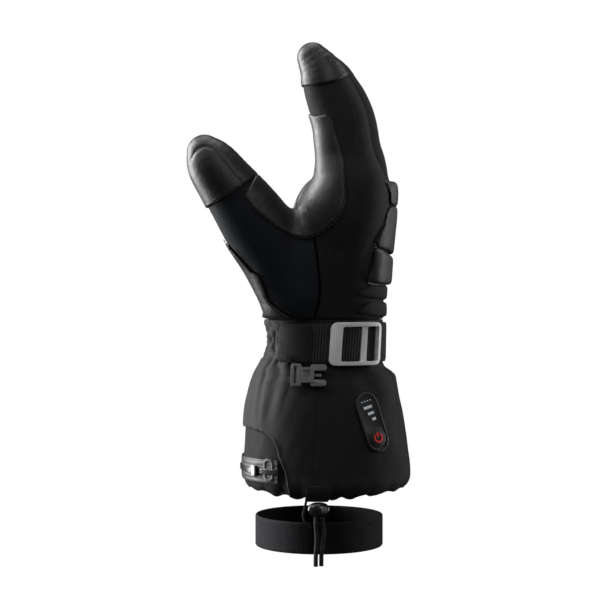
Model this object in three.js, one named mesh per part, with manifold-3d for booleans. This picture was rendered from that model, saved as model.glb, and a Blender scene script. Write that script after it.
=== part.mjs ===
import * as THREE from "three";
import { mergeVertices } from "three/addons/utils/BufferGeometryUtils.js";
import Module from "manifold-3d";

// A heated winter glove for the right hand, with a long gauntlet, in millimetres, +Z up.
// The origin is the middle of the wrist. +X is the back of the hand, -X the palm, and -Y the thumb side.

// Driving sizes of the glove's body
const cuffLength = 95;
const cuffDepth = 112;
const cuffWidth = 104;
const wristSeamHeight = 17;
const wristDepth = 76;
const wristWidth = 84;
const palmLength = 92;
const knuckleDepth = 62;
const knuckleWidth = 113;
const cuffWall = 4;
const handWall = 3.2;
const fingerWall = 2.8;
const clearance = 0.3;

// Driving sizes of the fingers and the thumb
const indexLength = 92;
const middleLength = 88;
const ringLength = 80;
const littleLength = 64;
const fingerThickness = 38;
const fingerBreadth = 27;
const thumbLength = 98;
const thumbThickness = 44;
const thumbBreadth = 36;
const webBlend = 13;
const topBlend = 10;
const fieldMargin = 12;

// Driving sizes of the folds and gathers
const gatherDepth = 1.8;
const foldDepth = 2;
const ruffleDepth = 1.5;
const recessDepth = 1.6;
const hemDip = 3;

// Driving sizes of what is sewn on
const leatherThickness = 1.1;
const guardThickness = 4.4;
const ridgeThickness = 2.2;
const guardLength = 49;
const strapWidth = 25.6;
const strapThickness = 1.5;
const strapHeight = 2.4;
const tabLength = 20;
const tabThickness = 1.3;
const buckleLength = 33;
const buckleWidth = 28.6;
const buckleThickness = 3;
const buckleEndBar = 7;
const buckleThinBar = 2.4;
const buckleMiddleBar = 4;
const plugLength = 22.6;
const plugWidth = 14.6;
const plugThickness = 3.4;
const padLength = 38;
const padWidth = 15.5;
const padThickness = 2.6;
const buttonRadius = 4.8;
const buttonThickness = 1;
const zipperWidth = 15;
const zipperThickness = 1.1;
const zipSlider = { width: 5, height: 7, thickness: 2 };
const zipPull = { width: 8, height: 15, wall: 2.2, thickness: 1.4 };
const clipLoop = { width: 2.6, rise: 5, thickness: 1 };

// Driving sizes of the draw cord and the leash
const hemTabWidth = 15.5;
const hemTabHeight = 10.5;
const cordLockWidth = 14.4;
const cordLockHeight = 8.8;
const drawcordDiameter = 2.8;
const leashCordDiameter = 1.6;
const leashRadius = 41;
const leashBandWidth = 20;
const leashBandThickness = 2;
const leashTop = -111.3;

const outerCell = 10.2;
const innerCell = 14;

const paint = (color, roughness, metalness = 0) =>
  new THREE.MeshStandardMaterial({ color, roughness, metalness });
const softshell = paint(0x141517, 0.85);
const stretchCloth = paint(0x101216, 0.8);
const leather = paint(0x0e0e0f, 0.38);
const guardLeather = paint(0x1b1614, 0.45);
const webbing = paint(0x111214, 0.9);
const hardPlastic = paint(0x4a4c50, 0.45);
const rubber = paint(0x17181a, 0.6);
const redRubber = paint(0xb01c1c, 0.5);
const reflectiveTape = paint(0x8d9094, 0.4);
const cordYarn = paint(0x0d0d0e, 0.9);
const elastic = paint(0x0e1016, 0.85);

const wasm = await Module();
wasm.setup();

// Solids and meshes

function solidFrom(geometry) {
  const bare = geometry.index ? geometry.toNonIndexed() : geometry.clone();
  bare.deleteAttribute("normal");
  bare.deleteAttribute("uv");
  const merged = mergeVertices(bare, 1e-4);
  const vertProperties = merged.attributes.position.array;
  const triVerts = new Uint32Array(merged.index.array);
  return new wasm.Manifold(new wasm.Mesh({ numProp: 3, vertProperties, triVerts }));
}

function geometryFrom(solid) {
  const mesh = solid.getMesh();
  const geometry = new THREE.BufferGeometry();
  geometry.setAttribute("position", new THREE.BufferAttribute(mesh.vertProperties, 3));
  geometry.setIndex(new THREE.BufferAttribute(mesh.triVerts, 1));
  return geometry;
}

// The largest body of a cut solid, without the crumbs that a slanted cut can leave beside it.
function mainBody(solid) {
  const bodies = solid.decompose();
  return bodies.reduce((largest, body) => (body.volume() > largest.volume() ? body : largest));
}

const glove = new THREE.Group();

function addPiece(name, shape, material) {
  const geometry = shape.isBufferGeometry ? shape : geometryFrom(shape);
  geometry.computeVertexNormals();
  const mesh = new THREE.Mesh(geometry, material);
  mesh.name = name;
  glove.add(mesh);
  return mesh;
}

// Moves each point of a geometry to where a function puts it.
function bent(geometry, place) {
  const position = geometry.attributes.position;
  const point = new THREE.Vector3();
  for (let i = 0; i < position.count; i++) {
    place(point.fromBufferAttribute(position, i));
    position.setXYZ(i, point.x, point.y, point.z);
  }
  return geometry;
}

// The value of one column at a station, on a smooth curve through the table's rows.
function columnAt(rows, key, station) {
  const last = rows.length - 1;
  let i = 0;
  while (i < last - 1 && station > rows[i + 1].station) i++;
  const slopeAt = (k) => {
    const before = rows[Math.max(k - 1, 0)];
    const after = rows[Math.min(k + 1, last)];
    return (after[key] - before[key]) / (after.station - before.station);
  };
  const span = rows[i + 1].station - rows[i].station;
  const t = THREE.MathUtils.clamp((station - rows[i].station) / span, 0, 1);
  const hold = (1 + 2 * t) * (1 - t) ** 2 * rows[i][key] + t * t * (3 - 2 * t) * rows[i + 1][key];
  const lean = t * (1 - t) ** 2 * slopeAt(i) - t * t * (1 - t) * slopeAt(i + 1);
  return hold + span * lean;
}

// The body's sections. Each row reaches to the palm, the back, the thumb side and the little finger's
// side, as shares of the sizes that it follows, and lies at a share of the length that it follows.
const cuffRows = [
  { drop: 1.0, palm: 0.478, back: 0.414, thumbSide: 0.471, littleSide: 0.471, square: 2.1 },
  { drop: 0.955, palm: 0.502, back: 0.463, thumbSide: 0.495, littleSide: 0.495, square: 2.1 },
  { drop: 0.85, palm: 0.513, back: 0.482, thumbSide: 0.5, littleSide: 0.5, square: 2.1 },
  { drop: 0.63, palm: 0.506, back: 0.46, thumbSide: 0.492, littleSide: 0.492, square: 2.15 },
  { drop: 0.41, palm: 0.49, back: 0.43, thumbSide: 0.475, littleSide: 0.475, square: 2.2 },
  { drop: 0.24, palm: 0.456, back: 0.402, thumbSide: 0.445, littleSide: 0.445, square: 2.25 },
];
const wristRows = [
  { rise: -1.1, palm: 0.655, back: 0.575, thumbSide: 0.532, littleSide: 0.532, square: 2.25 },
  { rise: -0.78, palm: 0.62, back: 0.488, thumbSide: 0.51, littleSide: 0.51, square: 2.3 },
  { rise: -0.4, palm: 0.57, back: 0.468, thumbSide: 0.498, littleSide: 0.498, square: 2.3 },
  { rise: 0, palm: 0.535, back: 0.465, thumbSide: 0.493, littleSide: 0.493, square: 2.3 },
  { rise: 0.5, palm: 0.54, back: 0.47, thumbSide: 0.495, littleSide: 0.495, square: 2.3 },
  { rise: 1.0, palm: 0.56, back: 0.48, thumbSide: 0.51, littleSide: 0.505, square: 2.3 },
];
const handRows = [
  { rise: 0.14, palm: 0.62, back: 0.588, thumbSide: 0.41, littleSide: 0.4, square: 2.35 },
  { rise: 0.31, palm: 0.545, back: 0.605, thumbSide: 0.445, littleSide: 0.43, square: 2.4 },
  { rise: 0.47, palm: 0.485, back: 0.62, thumbSide: 0.475, littleSide: 0.455, square: 2.45 },
  { rise: 0.63, palm: 0.42, back: 0.642, thumbSide: 0.5, littleSide: 0.465, square: 2.5 },
  { rise: 0.77, palm: 0.36, back: 0.66, thumbSide: 0.503, littleSide: 0.46, square: 2.5 },
  { rise: 0.88, palm: 0.3, back: 0.652, thumbSide: 0.5, littleSide: 0.455, square: 2.5 },
  { rise: 1.0, palm: 0.2, back: 0.625, thumbSide: 0.49, littleSide: 0.45, square: 2.5 },
];

const sectionRow = (row, station, depth, width) => ({
  station,
  palm: row.palm * depth,
  back: row.back * depth,
  thumbSide: row.thumbSide * width,
  littleSide: row.littleSide * width,
  square: row.square,
});
const bodyRows = [
  ...cuffRows.map((row) => sectionRow(row, -row.drop * cuffLength, cuffDepth, cuffWidth)),
  ...wristRows.map((row) => sectionRow(row, row.rise * wristSeamHeight, wristDepth, wristWidth)),
  ...handRows.map((row) =>
    sectionRow(row, wristSeamHeight + row.rise * palmLength, knuckleDepth, knuckleWidth)),
];

function sectionAt(height) {
  const read = (key) => columnAt(bodyRows, key, height);
  const [palm, back, thumbSide, littleSide] = ["palm", "back", "thumbSide", "littleSide"].map(read);
  return {
    x: (back - palm) / 2,
    y: (littleSide - thumbSide) / 2,
    a: (palm + back) / 2,
    b: (thumbSide + littleSide) / 2,
    square: read("square"),
  };
}

const reachAt = (section, angle) => {
  const across = Math.abs(Math.cos(angle)) / section.a;
  const along = Math.abs(Math.sin(angle)) / section.b;
  return (across ** section.square + along ** section.square) ** (-1 / section.square);
};

// A point of the body's plain surface, at an angle round the section, or a distance outside it.
function bodyPoint(angle, height, outside = 0) {
  const at = (turn, level) => {
    const section = sectionAt(level);
    const reach = reachAt(section, turn);
    const x = section.x + reach * Math.cos(turn);
    return new THREE.Vector3(x, section.y + reach * Math.sin(turn), level);
  };
  const step = 0.01;
  const around = at(angle + step, height).sub(at(angle - step, height));
  const up = at(angle, height + 0.5).sub(at(angle, height - 0.5));
  const normal = around.cross(up).normalize();
  return at(angle, height).addScaledVector(normal, outside);
}

// The angle on the thumb side where the body's surface lies at a given x.
function thumbSideAngle(x, height) {
  let low = -Math.PI;
  let high = 0;
  for (let i = 0; i < 40; i++) {
    const middle = (low + high) / 2;
    if (bodyPoint(middle, height).x < x) low = middle;
    else high = middle;
  }
  return (low + high) / 2;
}

// Webbing lies straight across its width, from its lower to its upper edge.
const strapLow = strapHeight - strapWidth / 2;
const strapHigh = strapHeight + strapWidth / 2;
function strapPoint(angle, height, outside = 0) {
  const share = (height - strapLow) / strapWidth;
  return bodyPoint(angle, strapLow, outside).lerp(bodyPoint(angle, strapHigh, outside), share);
}

// Lays flat work on the body: x runs round it from an anchor, y runs up and z outwards.
function laidOnBody(geometry, x, height, tilt = 0, surface = bodyPoint) {
  const anchor = thumbSideAngle(x, height);
  const reach = reachAt(sectionAt(height), anchor);
  return bent(geometry, (point) => {
    const across = point.x * Math.cos(tilt) - point.y * Math.sin(tilt);
    const up = point.x * Math.sin(tilt) + point.y * Math.cos(tilt);
    point.copy(surface(anchor + across / reach, height + up, point.z));
  });
}

// Stands a rigid piece on the body at one place, without bending it.
function stoodOnBody(geometry, x, height, reachUp, lift) {
  const angle = thumbSideAngle(x, height);
  const low = bodyPoint(angle, height - reachUp / 2);
  const high = bodyPoint(angle, height + reachUp / 2);
  const up = high.clone().sub(low).normalize();
  const around = bodyPoint(angle + 0.05, height).sub(bodyPoint(angle - 0.05, height));
  const out = around.cross(up).normalize();
  const right = up.clone().cross(out);
  const seat = low.add(high).multiplyScalar(0.5).addScaledVector(out, lift);
  return geometry.applyMatrix4(new THREE.Matrix4().makeBasis(right, up, out).setPosition(seat));
}
const laidOnStrap = (geometry, x, height) => laidOnBody(geometry, x, height, 0, strapPoint);

// A flat block of small faces, from one corner to the other.
function sheet(low, high, columns, rows) {
  const size = new THREE.Vector3(...high).sub(new THREE.Vector3(...low));
  const geometry = new THREE.BoxGeometry(size.x, size.y, size.z, columns, rows, 1);
  return geometry.translate((low[0] + high[0]) / 2, (low[1] + high[1]) / 2, (low[2] + high[2]) / 2);
}

// A closed plate inside a star-shaped outline, built in rings, whose top follows a crown from 0 to 1.
function ringPlate(outline, rings, low, thickness, crown = () => 1) {
  const points = [];
  const faces = [];
  const count = outline.length;
  const vertex = (side, ring, k) =>
    ring === 0 ? side : 2 + (side * rings + ring - 1) * count + (k % count);
  points.push(new THREE.Vector3(0, 0, low), new THREE.Vector3(0, 0, low + thickness * crown(0)));
  for (const side of [0, 1])
    for (let ring = 1; ring <= rings; ring++)
      for (const corner of outline) {
        const share = ring / rings;
        const top = side ? thickness * crown(share) : 0;
        points.push(new THREE.Vector3(corner.x * share, corner.y * share, low + top));
      }
  for (let k = 0; k < count; k++) {
    faces.push([0, vertex(0, 1, k + 1), vertex(0, 1, k)]);
    faces.push([1, vertex(1, 1, k), vertex(1, 1, k + 1)]);
    for (let ring = 1; ring < rings; ring++) {
      const quad = (side) => [
        vertex(side, ring, k), vertex(side, ring + 1, k),
        vertex(side, ring + 1, k + 1), vertex(side, ring, k + 1),
      ];
      const [a, b, c, d] = quad(1);
      faces.push([a, b, c], [a, c, d]);
      const [e, f, g, h] = quad(0);
      faces.push([e, g, f], [e, h, g]);
    }
    faces.push([vertex(0, rings, k), vertex(0, rings, k + 1), vertex(1, rings, k + 1)]);
    faces.push([vertex(0, rings, k), vertex(1, rings, k + 1), vertex(1, rings, k)]);
  }
  return geometryOf(points, faces);
}

function geometryOf(points, faces) {
  const geometry = new THREE.BufferGeometry();
  const position = new Float32Array(points.flatMap((point) => point.toArray()));
  geometry.setAttribute("position", new THREE.BufferAttribute(position, 3));
  geometry.setIndex(faces.flat());
  return geometry;
}

// A rounded rectangle, or an oval with full rounding, in stretches short enough to bend round the wrist
const longestFace = 6.5;
function roundedOutline(width, height, radius, perCorner = 4) {
  const outline = [];
  for (let corner = 0; corner < 4; corner++)
    for (let i = 0; i <= perCorner; i++) {
      const turn = (corner + i / perCorner) * (Math.PI / 2);
      const right = corner === 0 || corner === 3 ? 1 : -1;
      const top = corner < 2 ? 1 : -1;
      outline.push(new THREE.Vector2(
        right * (width / 2 - radius) + radius * Math.cos(turn),
        top * (height / 2 - radius) + radius * Math.sin(turn),
      ));
    }
  const apart = outline.filter((point, i) => point.distanceTo(outline[(i + 1) % outline.length]) > 1e-3);
  return apart.flatMap((point, i) => {
    const next = apart[(i + 1) % apart.length];
    const steps = Math.ceil(point.distanceTo(next) / longestFace);
    return Array.from({ length: steps }, (_, k) => point.clone().lerp(next, k / steps));
  });
}

// The cuff

// How far the cloth lies inside the plain surface: gathers at the wrist, folds and the pocket's recess.
const wave = (turns) => (1 - Math.cos(turns)) / 2;
const bump = (value, middle, spread) => Math.exp(-(((value - middle) / spread) ** 2));
const cuffFolds = [
  { angle: -2.75, height: 0.38, lean: 0.25, spread: 0.13, length: 0.3, depth: 1.0 },
  { angle: -2.3, height: 0.34, lean: -0.2, spread: 0.11, length: 0.26, depth: 0.8 },
  { angle: -0.95, height: 0.3, lean: 0.3, spread: 0.14, length: 0.22, depth: 0.6 },
  { angle: 0.6, height: 0.42, lean: -0.25, spread: 0.15, length: 0.3, depth: 0.9 },
  { angle: 1.5, height: 0.5, lean: 0.2, spread: 0.14, length: 0.3, depth: 0.8 },
  { angle: 2.6, height: 0.36, lean: -0.2, spread: 0.14, length: 0.3, depth: 0.9 },
];
const recessTop = 0.6;
const recessEdgeAngle = 0.95;

function dentAt(angle, height) {
  const palmTurn = Math.abs(Math.atan2(Math.sin(angle - Math.PI), Math.cos(angle - Math.PI)));
  const onPalm = bump(palmTurn, 0, 1.25);
  const gathered = bump(height, 0, 0.24 * cuffLength) * (0.25 + 0.75 * onPalm);
  const gathers = gatherDepth * gathered * wave(19 * angle);
  const drop = -height / cuffLength;
  let folds = 0;
  for (const fold of cuffFolds) {
    const turn = angle - fold.angle - fold.lean * (drop - fold.height);
    const away = Math.atan2(Math.sin(turn), Math.cos(turn));
    folds += foldDepth * fold.depth * bump(away, 0, fold.spread) * bump(drop, fold.height, fold.length);
  }
  const inRecess = drop > recessTop && palmTurn < recessEdgeAngle;
  return gathers + (inRecess ? recessDepth + 0.3 * folds : folds);
}

function hemHeight(angle) {
  const dip = hemDip * Math.cos(angle) ** 2;
  return -cuffLength + dip + ruffleDepth * (wave(22 * angle) - 0.5) * 0.8;
}

// The cuff is a closed grid: down the outside, under the hem, and up the inside.
function cuffGeometry() {
  const around = 56;
  const outsideDrops = [
    1, 0.955, 0.88, 0.76, 0.62, 0.58, 0.46, 0.34, 0.24, 0.18, 0.12, 0.05, -0.06,
  ];
  const insideDrops = [1, 0.92, 0.6, 0.3, 0.15, 0];
  const topShare = -wristSeamHeight / cuffLength;
  const rows = [];
  const rowAt = (drop, inside) => {
    const row = [];
    for (let k = 0; k < around; k++) {
      const angle = (k / around) * 2 * Math.PI;
      const nearHem = THREE.MathUtils.smoothstep(drop, 0.82, 1);
      const height = -drop * cuffLength + nearHem * (hemHeight(angle) + cuffLength);
      const ruffle = nearHem * ruffleDepth * wave(22 * angle);
      const outside = inside ? -cuffWall : -Math.max(dentAt(angle, height), ruffle);
      row.push(bodyPoint(angle, height, outside));
    }
    return row;
  };
  const level = (row) => row.map((point) => point.setZ(wristSeamHeight));
  rows.push(level(rowAt(topShare, false)));
  for (const drop of [...outsideDrops].reverse()) rows.push(rowAt(drop, false));
  for (const drop of insideDrops) rows.push(rowAt(drop, true));
  rows.push(level(rowAt(topShare, true)));
  const faces = [];
  for (let r = 0; r < rows.length; r++)
    for (let k = 0; k < around; k++) {
      const below = ((r + 1) % rows.length) * around;
      const next = (k + 1) % around;
      const [a, b, c, d] = [r * around + k, r * around + next, below + next, below + k];
      faces.push([a, c, b], [a, d, c]);
    }
  return geometryOf(rows.flat(), faces);
}
addPiece("gauntlet_cuff", cuffGeometry(), softshell);

// Fingers, thumb and palm are one field of distances, negative inside the glove.

// A finger or thumb follows a curved path through its table's rows, with an oval section across it.
function limbField(rows) {
  const steps = 26;
  const stations = [];
  for (let i = 0; i <= steps; i++) {
    const station = (i / steps) * rows.at(-1).station;
    const entry = {};
    for (const key of ["x", "y", "z", "half", "breadth"]) entry[key] = columnAt(rows, key, station);
    stations.push(entry);
  }
  return (x, y, z) => {
    let nearest = Infinity;
    for (let i = 0; i < steps; i++) {
      const from = stations[i];
      const to = stations[i + 1];
      const dx = to.x - from.x;
      const dz = to.z - from.z;
      const along = ((x - from.x) * dx + (z - from.z) * dz) / (dx * dx + dz * dz);
      const t = THREE.MathUtils.clamp(along, 0, 1);
      const across = Math.hypot(x - from.x - t * dx, z - from.z - t * dz);
      const aside = y - from.y - t * (to.y - from.y);
      const half = from.half + t * (to.half - from.half);
      const breadth = from.breadth + t * (to.breadth - from.breadth);
      const share = Math.hypot(across / half, aside / breadth);
      const distance = share < 1e-6 ? -Math.min(half, breadth) : Math.hypot(across, aside) * (1 - 1 / share);
      nearest = Math.min(nearest, distance);
    }
    return nearest;
  };
}

// A finger's path, in shares of its length: how far it rises and bends forward, and its section.
const fingerRows = [
  { station: 0, rise: -0.12, forward: 0.04, half: 0.5, breadth: 0.47 },
  { station: 0.15, rise: 0.06, forward: 0, half: 0.485, breadth: 0.48 },
  { station: 0.35, rise: 0.27, forward: 0.042, half: 0.462, breadth: 0.485 },
  { station: 0.55, rise: 0.46, forward: 0.07, half: 0.447, breadth: 0.48 },
  { station: 0.7, rise: 0.6, forward: 0.12, half: 0.43, breadth: 0.47 },
  { station: 0.8, rise: 0.7, forward: 0.165, half: 0.39, breadth: 0.45 },
  { station: 0.9, rise: 0.8, forward: 0.2, half: 0.32, breadth: 0.41 },
  { station: 1, rise: 0.9, forward: 0.262, half: 0.225, breadth: 0.3 },
];
const fingerPitch = fingerBreadth + clearance;
// Where each finger stands: x in shares of the knuckles' depth, lane in pitches, start in palm lengths.
const fingers = [
  { name: "index_finger", length: indexLength, x: 0.219, lane: -1.5, start: -0.1, scale: 1 },
  { name: "middle_finger", length: middleLength, x: 0.327, lane: -0.5, start: -0.06, scale: 1 },
  { name: "ring_finger", length: ringLength, x: 0.29, lane: 0.5, start: -0.08, scale: 0.98 },
  { name: "little_finger", length: littleLength, x: 0.25, lane: 1.46, start: -0.12, scale: 0.86 },
];
const webHeight = wristSeamHeight + palmLength;
const fingerCentre = -0.02 * knuckleWidth;

function fingerField(finger) {
  const rootHeight = webHeight + finger.start * palmLength;
  return limbField(fingerRows.map((row) => ({
    station: row.station,
    x: finger.x * knuckleDepth - row.forward * finger.length,
    y: fingerCentre + finger.lane * fingerPitch,
    z: rootHeight + row.rise * finger.length,
    half: row.half * fingerThickness * finger.scale,
    breadth: row.breadth * fingerBreadth * finger.scale,
  })));
}

// The thumb's path from its root in the palm, in shares of its length.
const thumbRows = [
  { station: 0, out: 0, rise: 0, aside: 0, half: 0.44, breadth: 0.47 },
  { station: 0.22, out: 0.1, rise: 0.24, aside: 0.05, half: 0.49, breadth: 0.5 },
  { station: 0.42, out: 0.21, rise: 0.41, aside: 0.1, half: 0.49, breadth: 0.49 },
  { station: 0.56, out: 0.3, rise: 0.54, aside: 0.14, half: 0.45, breadth: 0.46 },
  { station: 0.72, out: 0.41, rise: 0.69, aside: 0.17, half: 0.385, breadth: 0.42 },
  { station: 0.86, out: 0.49, rise: 0.8, aside: 0.19, half: 0.335, breadth: 0.37 },
  { station: 1, out: 0.545, rise: 0.885, aside: 0.2, half: 0.22, breadth: 0.26 },
];
const thumbRoot = new THREE.Vector3(
  -0.4 * knuckleDepth, -0.28 * knuckleWidth, wristSeamHeight + 0.2 * palmLength);
const thumbField = limbField(thumbRows.map((row) => ({
  station: row.station,
  x: thumbRoot.x - row.out * thumbLength,
  y: thumbRoot.y - row.aside * thumbLength,
  z: thumbRoot.z + row.rise * thumbLength,
  half: row.half * thumbThickness,
  breadth: row.breadth * thumbBreadth,
})));

const trunkBottom = wristSeamHeight - fieldMargin;
function trunkField(x, y, z) {
  const section = sectionAt(THREE.MathUtils.clamp(z, trunkBottom, webHeight));
  const reach = Math.hypot(x - section.x, y - section.y);
  const side = reach - reachAt(section, Math.atan2(y - section.y, x - section.x));
  const top = smoothUnion(-side, webHeight - z, topBlend);
  return Math.max(-top, trunkBottom - z);
}

function smoothUnion(one, other, blend) {
  const share = Math.max(blend - Math.abs(one - other), 0) / blend;
  return Math.min(one, other) - (share * share * blend) / 4;
}

const indexField = fingerField(fingers[0]);
function handField(x, y, z) {
  const withIndex = smoothUnion(trunkField(x, y, z), indexField(x, y, z), webBlend);
  return smoothUnion(withIndex, thumbField(x, y, z), webBlend);
}

// The closed surface where a field is zero: one point in each cell that it crosses, joined across each
// crossed edge of the cells, and then drawn onto the surface along the field's slope.
function skinOf(field, cellSize, low, high) {
  const counts = ["x", "y", "z"].map((axis) => Math.ceil((high[axis] - low[axis]) / cellSize) + 1);
  const [nx, ny, nz] = counts;
  const corner = (i, j, k) => (k * ny + j) * nx + i;
  const values = new Float64Array(nx * ny * nz);
  const place = (i, j, k) => [low.x + i * cellSize, low.y + j * cellSize, low.z + k * cellSize];
  for (let k = 0; k < nz; k++)
    for (let j = 0; j < ny; j++)
      for (let i = 0; i < nx; i++) values[corner(i, j, k)] = field(...place(i, j, k));
  const offsets = [[0, 0, 0], [1, 0, 0], [0, 1, 0], [1, 1, 0], [0, 0, 1], [1, 0, 1], [0, 1, 1], [1, 1, 1]];
  const points = [];
  const cells = new Map();
  for (let k = 0; k < nz - 1; k++)
    for (let j = 0; j < ny - 1; j++)
      for (let i = 0; i < nx - 1; i++) {
        const crossings = [];
        for (let a = 0; a < 8; a++)
          for (let b = a + 1; b < 8; b++) {
            const apart = offsets[a].reduce((sum, v, n) => sum + Math.abs(v - offsets[b][n]), 0);
            const one = values[corner(i + offsets[a][0], j + offsets[a][1], k + offsets[a][2])];
            const other = values[corner(i + offsets[b][0], j + offsets[b][1], k + offsets[b][2])];
            if (apart !== 1 || one < 0 === other < 0) continue;
            const share = one / (one - other);
            crossings.push(offsets[a].map((v, n) => v + share * (offsets[b][n] - v)));
          }
        if (!crossings.length) continue;
        const mean = [0, 1, 2].map((n) => crossings.reduce((sum, c) => sum + c[n], 0) / crossings.length);
        cells.set(corner(i, j, k), points.length);
        points.push(new THREE.Vector3(...place(i + mean[0], j + mean[1], k + mean[2])));
      }
  const faces = [];
  const axes = [[1, 0, 0], [0, 1, 0], [0, 0, 1]];
  for (let k = 0; k < nz - 1; k++)
    for (let j = 0; j < ny - 1; j++)
      for (let i = 0; i < nx - 1; i++)
        for (let n = 0; n < 3; n++) {
          const here = values[corner(i, j, k)] < 0;
          const step = axes[n];
          if (here === values[corner(i + step[0], j + step[1], k + step[2])] < 0) continue;
          const u = axes[(n + 1) % 3];
          const v = axes[(n + 2) % 3];
          const around = [[0, 0], [1, 0], [1, 1], [0, 1]].map(([p, q]) => cells.get(
            corner(i - p * u[0] - q * v[0], j - p * u[1] - q * v[1], k - p * u[2] - q * v[2])));
          const [a, b, c, d] = here ? around : around.reverse();
          const flat = points[a].distanceTo(points[c]) < points[b].distanceTo(points[d]);
          if (flat) faces.push([a, b, c], [a, c, d]);
          else faces.push([a, b, d], [b, c, d]);
        }
  const slope = (p) => new THREE.Vector3(
    field(p.x + 0.4, p.y, p.z) - field(p.x - 0.4, p.y, p.z),
    field(p.x, p.y + 0.4, p.z) - field(p.x, p.y - 0.4, p.z),
    field(p.x, p.y, p.z + 0.4) - field(p.x, p.y, p.z - 0.4),
  ).divideScalar(0.8);
  for (const point of points)
    for (let pass = 0; pass < 4; pass++) {
      const down = slope(point);
      const jump = field(point.x, point.y, point.z) / Math.max(down.lengthSq(), 0.25);
      point.addScaledVector(down, -THREE.MathUtils.clamp(jump, -2, 2));
    }
  const normals = points.map((point) => slope(point).normalize());
  return { points, normals, faces };
}

// A skin moved outwards, or inwards by a negative distance, as a closed solid.
const movedSkin = (skin, outside) => solidFrom(geometryOf(
  skin.points.map((point, i) => point.clone().addScaledVector(skin.normals[i], outside)), skin.faces));

const corners = (low, high) => [new THREE.Vector3(...low), new THREE.Vector3(...high)];
const handBox = corners(
  [-0.4 * knuckleDepth - 0.62 * thumbLength - 2 * fieldMargin, -0.7 * knuckleWidth, trunkBottom - topBlend],
  [0.85 * knuckleDepth, 0.65 * knuckleWidth, webHeight + indexLength + fieldMargin],
);
const handSkin = skinOf(handField, outerCell, ...handBox);

// Cutters

// A prism along y, from an outline in x and z.
function sidePrism(outline, nearY, farY) {
  const shape = new THREE.Shape(outline.map(([x, z]) => new THREE.Vector2(x, z)));
  const prism = new THREE.ExtrudeGeometry(shape, { depth: farY - nearY, bevelEnabled: false });
  return solidFrom(prism.rotateX(Math.PI / 2).translate(0, farY, 0));
}

const farAway = 400;
const block = (low, high) => solidFrom(sheet(low, high, 1, 1));
const above = (height) => block([-farAway, -farAway, height], [farAway, farAway, farAway]);
const below = (height) => block([-farAway, -farAway, -farAway], [farAway, farAway, height]);

// The glove's skin is cut at the thumb's root and at the finger roots, so that each is a piece of its own.
const crotch = new THREE.Vector2(-0.42 * knuckleDepth, wristSeamHeight + 0.665 * palmLength);
const thumbCutSlope = 0.728;
const thumbWedge = (gap) => {
  const x = crotch.x - gap;
  const z = crotch.y + 0.506 * gap;
  const foot = z - farAway * thumbCutSlope;
  const outline = [[x, z], [x, z + farAway], [x - farAway, z + farAway], [x - farAway, foot]];
  return sidePrism(outline, -farAway, farAway);
};
const fingerCut = webHeight - 0.02 * palmLength;

const outerParts = [movedSkin(handSkin, 0)];
const innerParts = [movedSkin(skinOf(handField, innerCell, ...handBox), -handWall)];
const fingerRooms = [];
for (const finger of fingers.slice(1)) {
  const y = fingerCentre + finger.lane * fingerPitch;
  const bottom = webHeight + (finger.start - 0.4) * palmLength;
  const box = corners(
    [-0.645 * knuckleDepth, y - 0.8 * fingerBreadth, bottom],
    [0.85 * knuckleDepth, y + 0.8 * fingerBreadth, webHeight + finger.length + fieldMargin],
  );
  const field = fingerField(finger);
  const skin = skinOf(field, outerCell, ...box);
  outerParts.push(movedSkin(skin, 0));
  fingerRooms.push(movedSkin(skin, clearance));
  innerParts.push(movedSkin(skinOf(field, innerCell, ...box), -fingerWall));
}
const joined = (parts) => parts.reduce((sum, part) => sum.add(part));
const hollowGlove = joined(outerParts).subtract(joined(innerParts));
const withoutThumb = hollowGlove.subtract(thumbWedge(0));
const handShell = withoutThumb.subtract(above(fingerCut)).subtract(below(wristSeamHeight + clearance));
addPiece("hand_shell", mainBody(handShell), stretchCloth);
addPiece("thumb", mainBody(hollowGlove.intersect(thumbWedge(clearance))), stretchCloth);

const fingerParts = withoutThumb.intersect(above(fingerCut + clearance));
fingers.forEach((finger, i) => {
  const y = fingerCentre + finger.lane * fingerPitch;
  const beyond = (side) => {
    const neighbour = fingers[i + side];
    if (!neighbour) return y + side * farAway;
    return (y + fingerCentre + neighbour.lane * fingerPitch) / 2 - (side * clearance) / 2;
  };
  const lane = block([-farAway, beyond(-1), 0], [farAway, beyond(1), farAway]);
  addPiece(finger.name, mainBody(fingerParts.intersect(lane)), softshell);
});

// A layer over the hand's skin, as thick as the piece, that leaves room for the finger roots
const joinedRooms = joined(fingerRooms);
const layerOver = (thickness) =>
  movedSkin(handSkin, clearance + thickness).subtract(movedSkin(handSkin, clearance)).subtract(joinedRooms);

// Leather laid over the skin. Outlines are in shares of the knuckles' depth and the palm's length.
const onHand = ([x, z]) => [x * knuckleDepth, wristSeamHeight + z * palmLength];
const leatherLayer = layerOver(leatherThickness);

// The side of a slanted line, seen along y, that a tip cap covers.
function beyondLine([x, z], degrees, gap) {
  const turn = THREE.MathUtils.degToRad(degrees);
  const half = block([-farAway, -farAway, gap], [farAway, farAway, farAway]);
  return solidFrom(geometryFrom(half).rotateY(-turn).translate(x, 0, z));
}
const thumbCapLine = [thumbRoot.x - 0.36 * thumbLength, thumbRoot.z + 0.64 * thumbLength];
const thumbCapTilt = 32.5;
const indexCapLine = [-0.01 * knuckleDepth, webHeight + 0.605 * indexLength];
const indexCapTilt = 22;
const leftOf = (x) => block([-farAway, -farAway, -farAway], [x, farAway, farAway]);
const rightOf = (x) => block([x, -farAway, -farAway], [farAway, farAway, farAway]);
const thumbCapSide = leftOf(crotch.x - 0.065 * knuckleDepth);
const thumbEnd = beyondLine(thumbCapLine, thumbCapTilt, clearance).intersect(thumbCapSide);
addPiece("thumb_tip_cap", mainBody(leatherLayer.intersect(thumbEnd)), leather);
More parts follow.
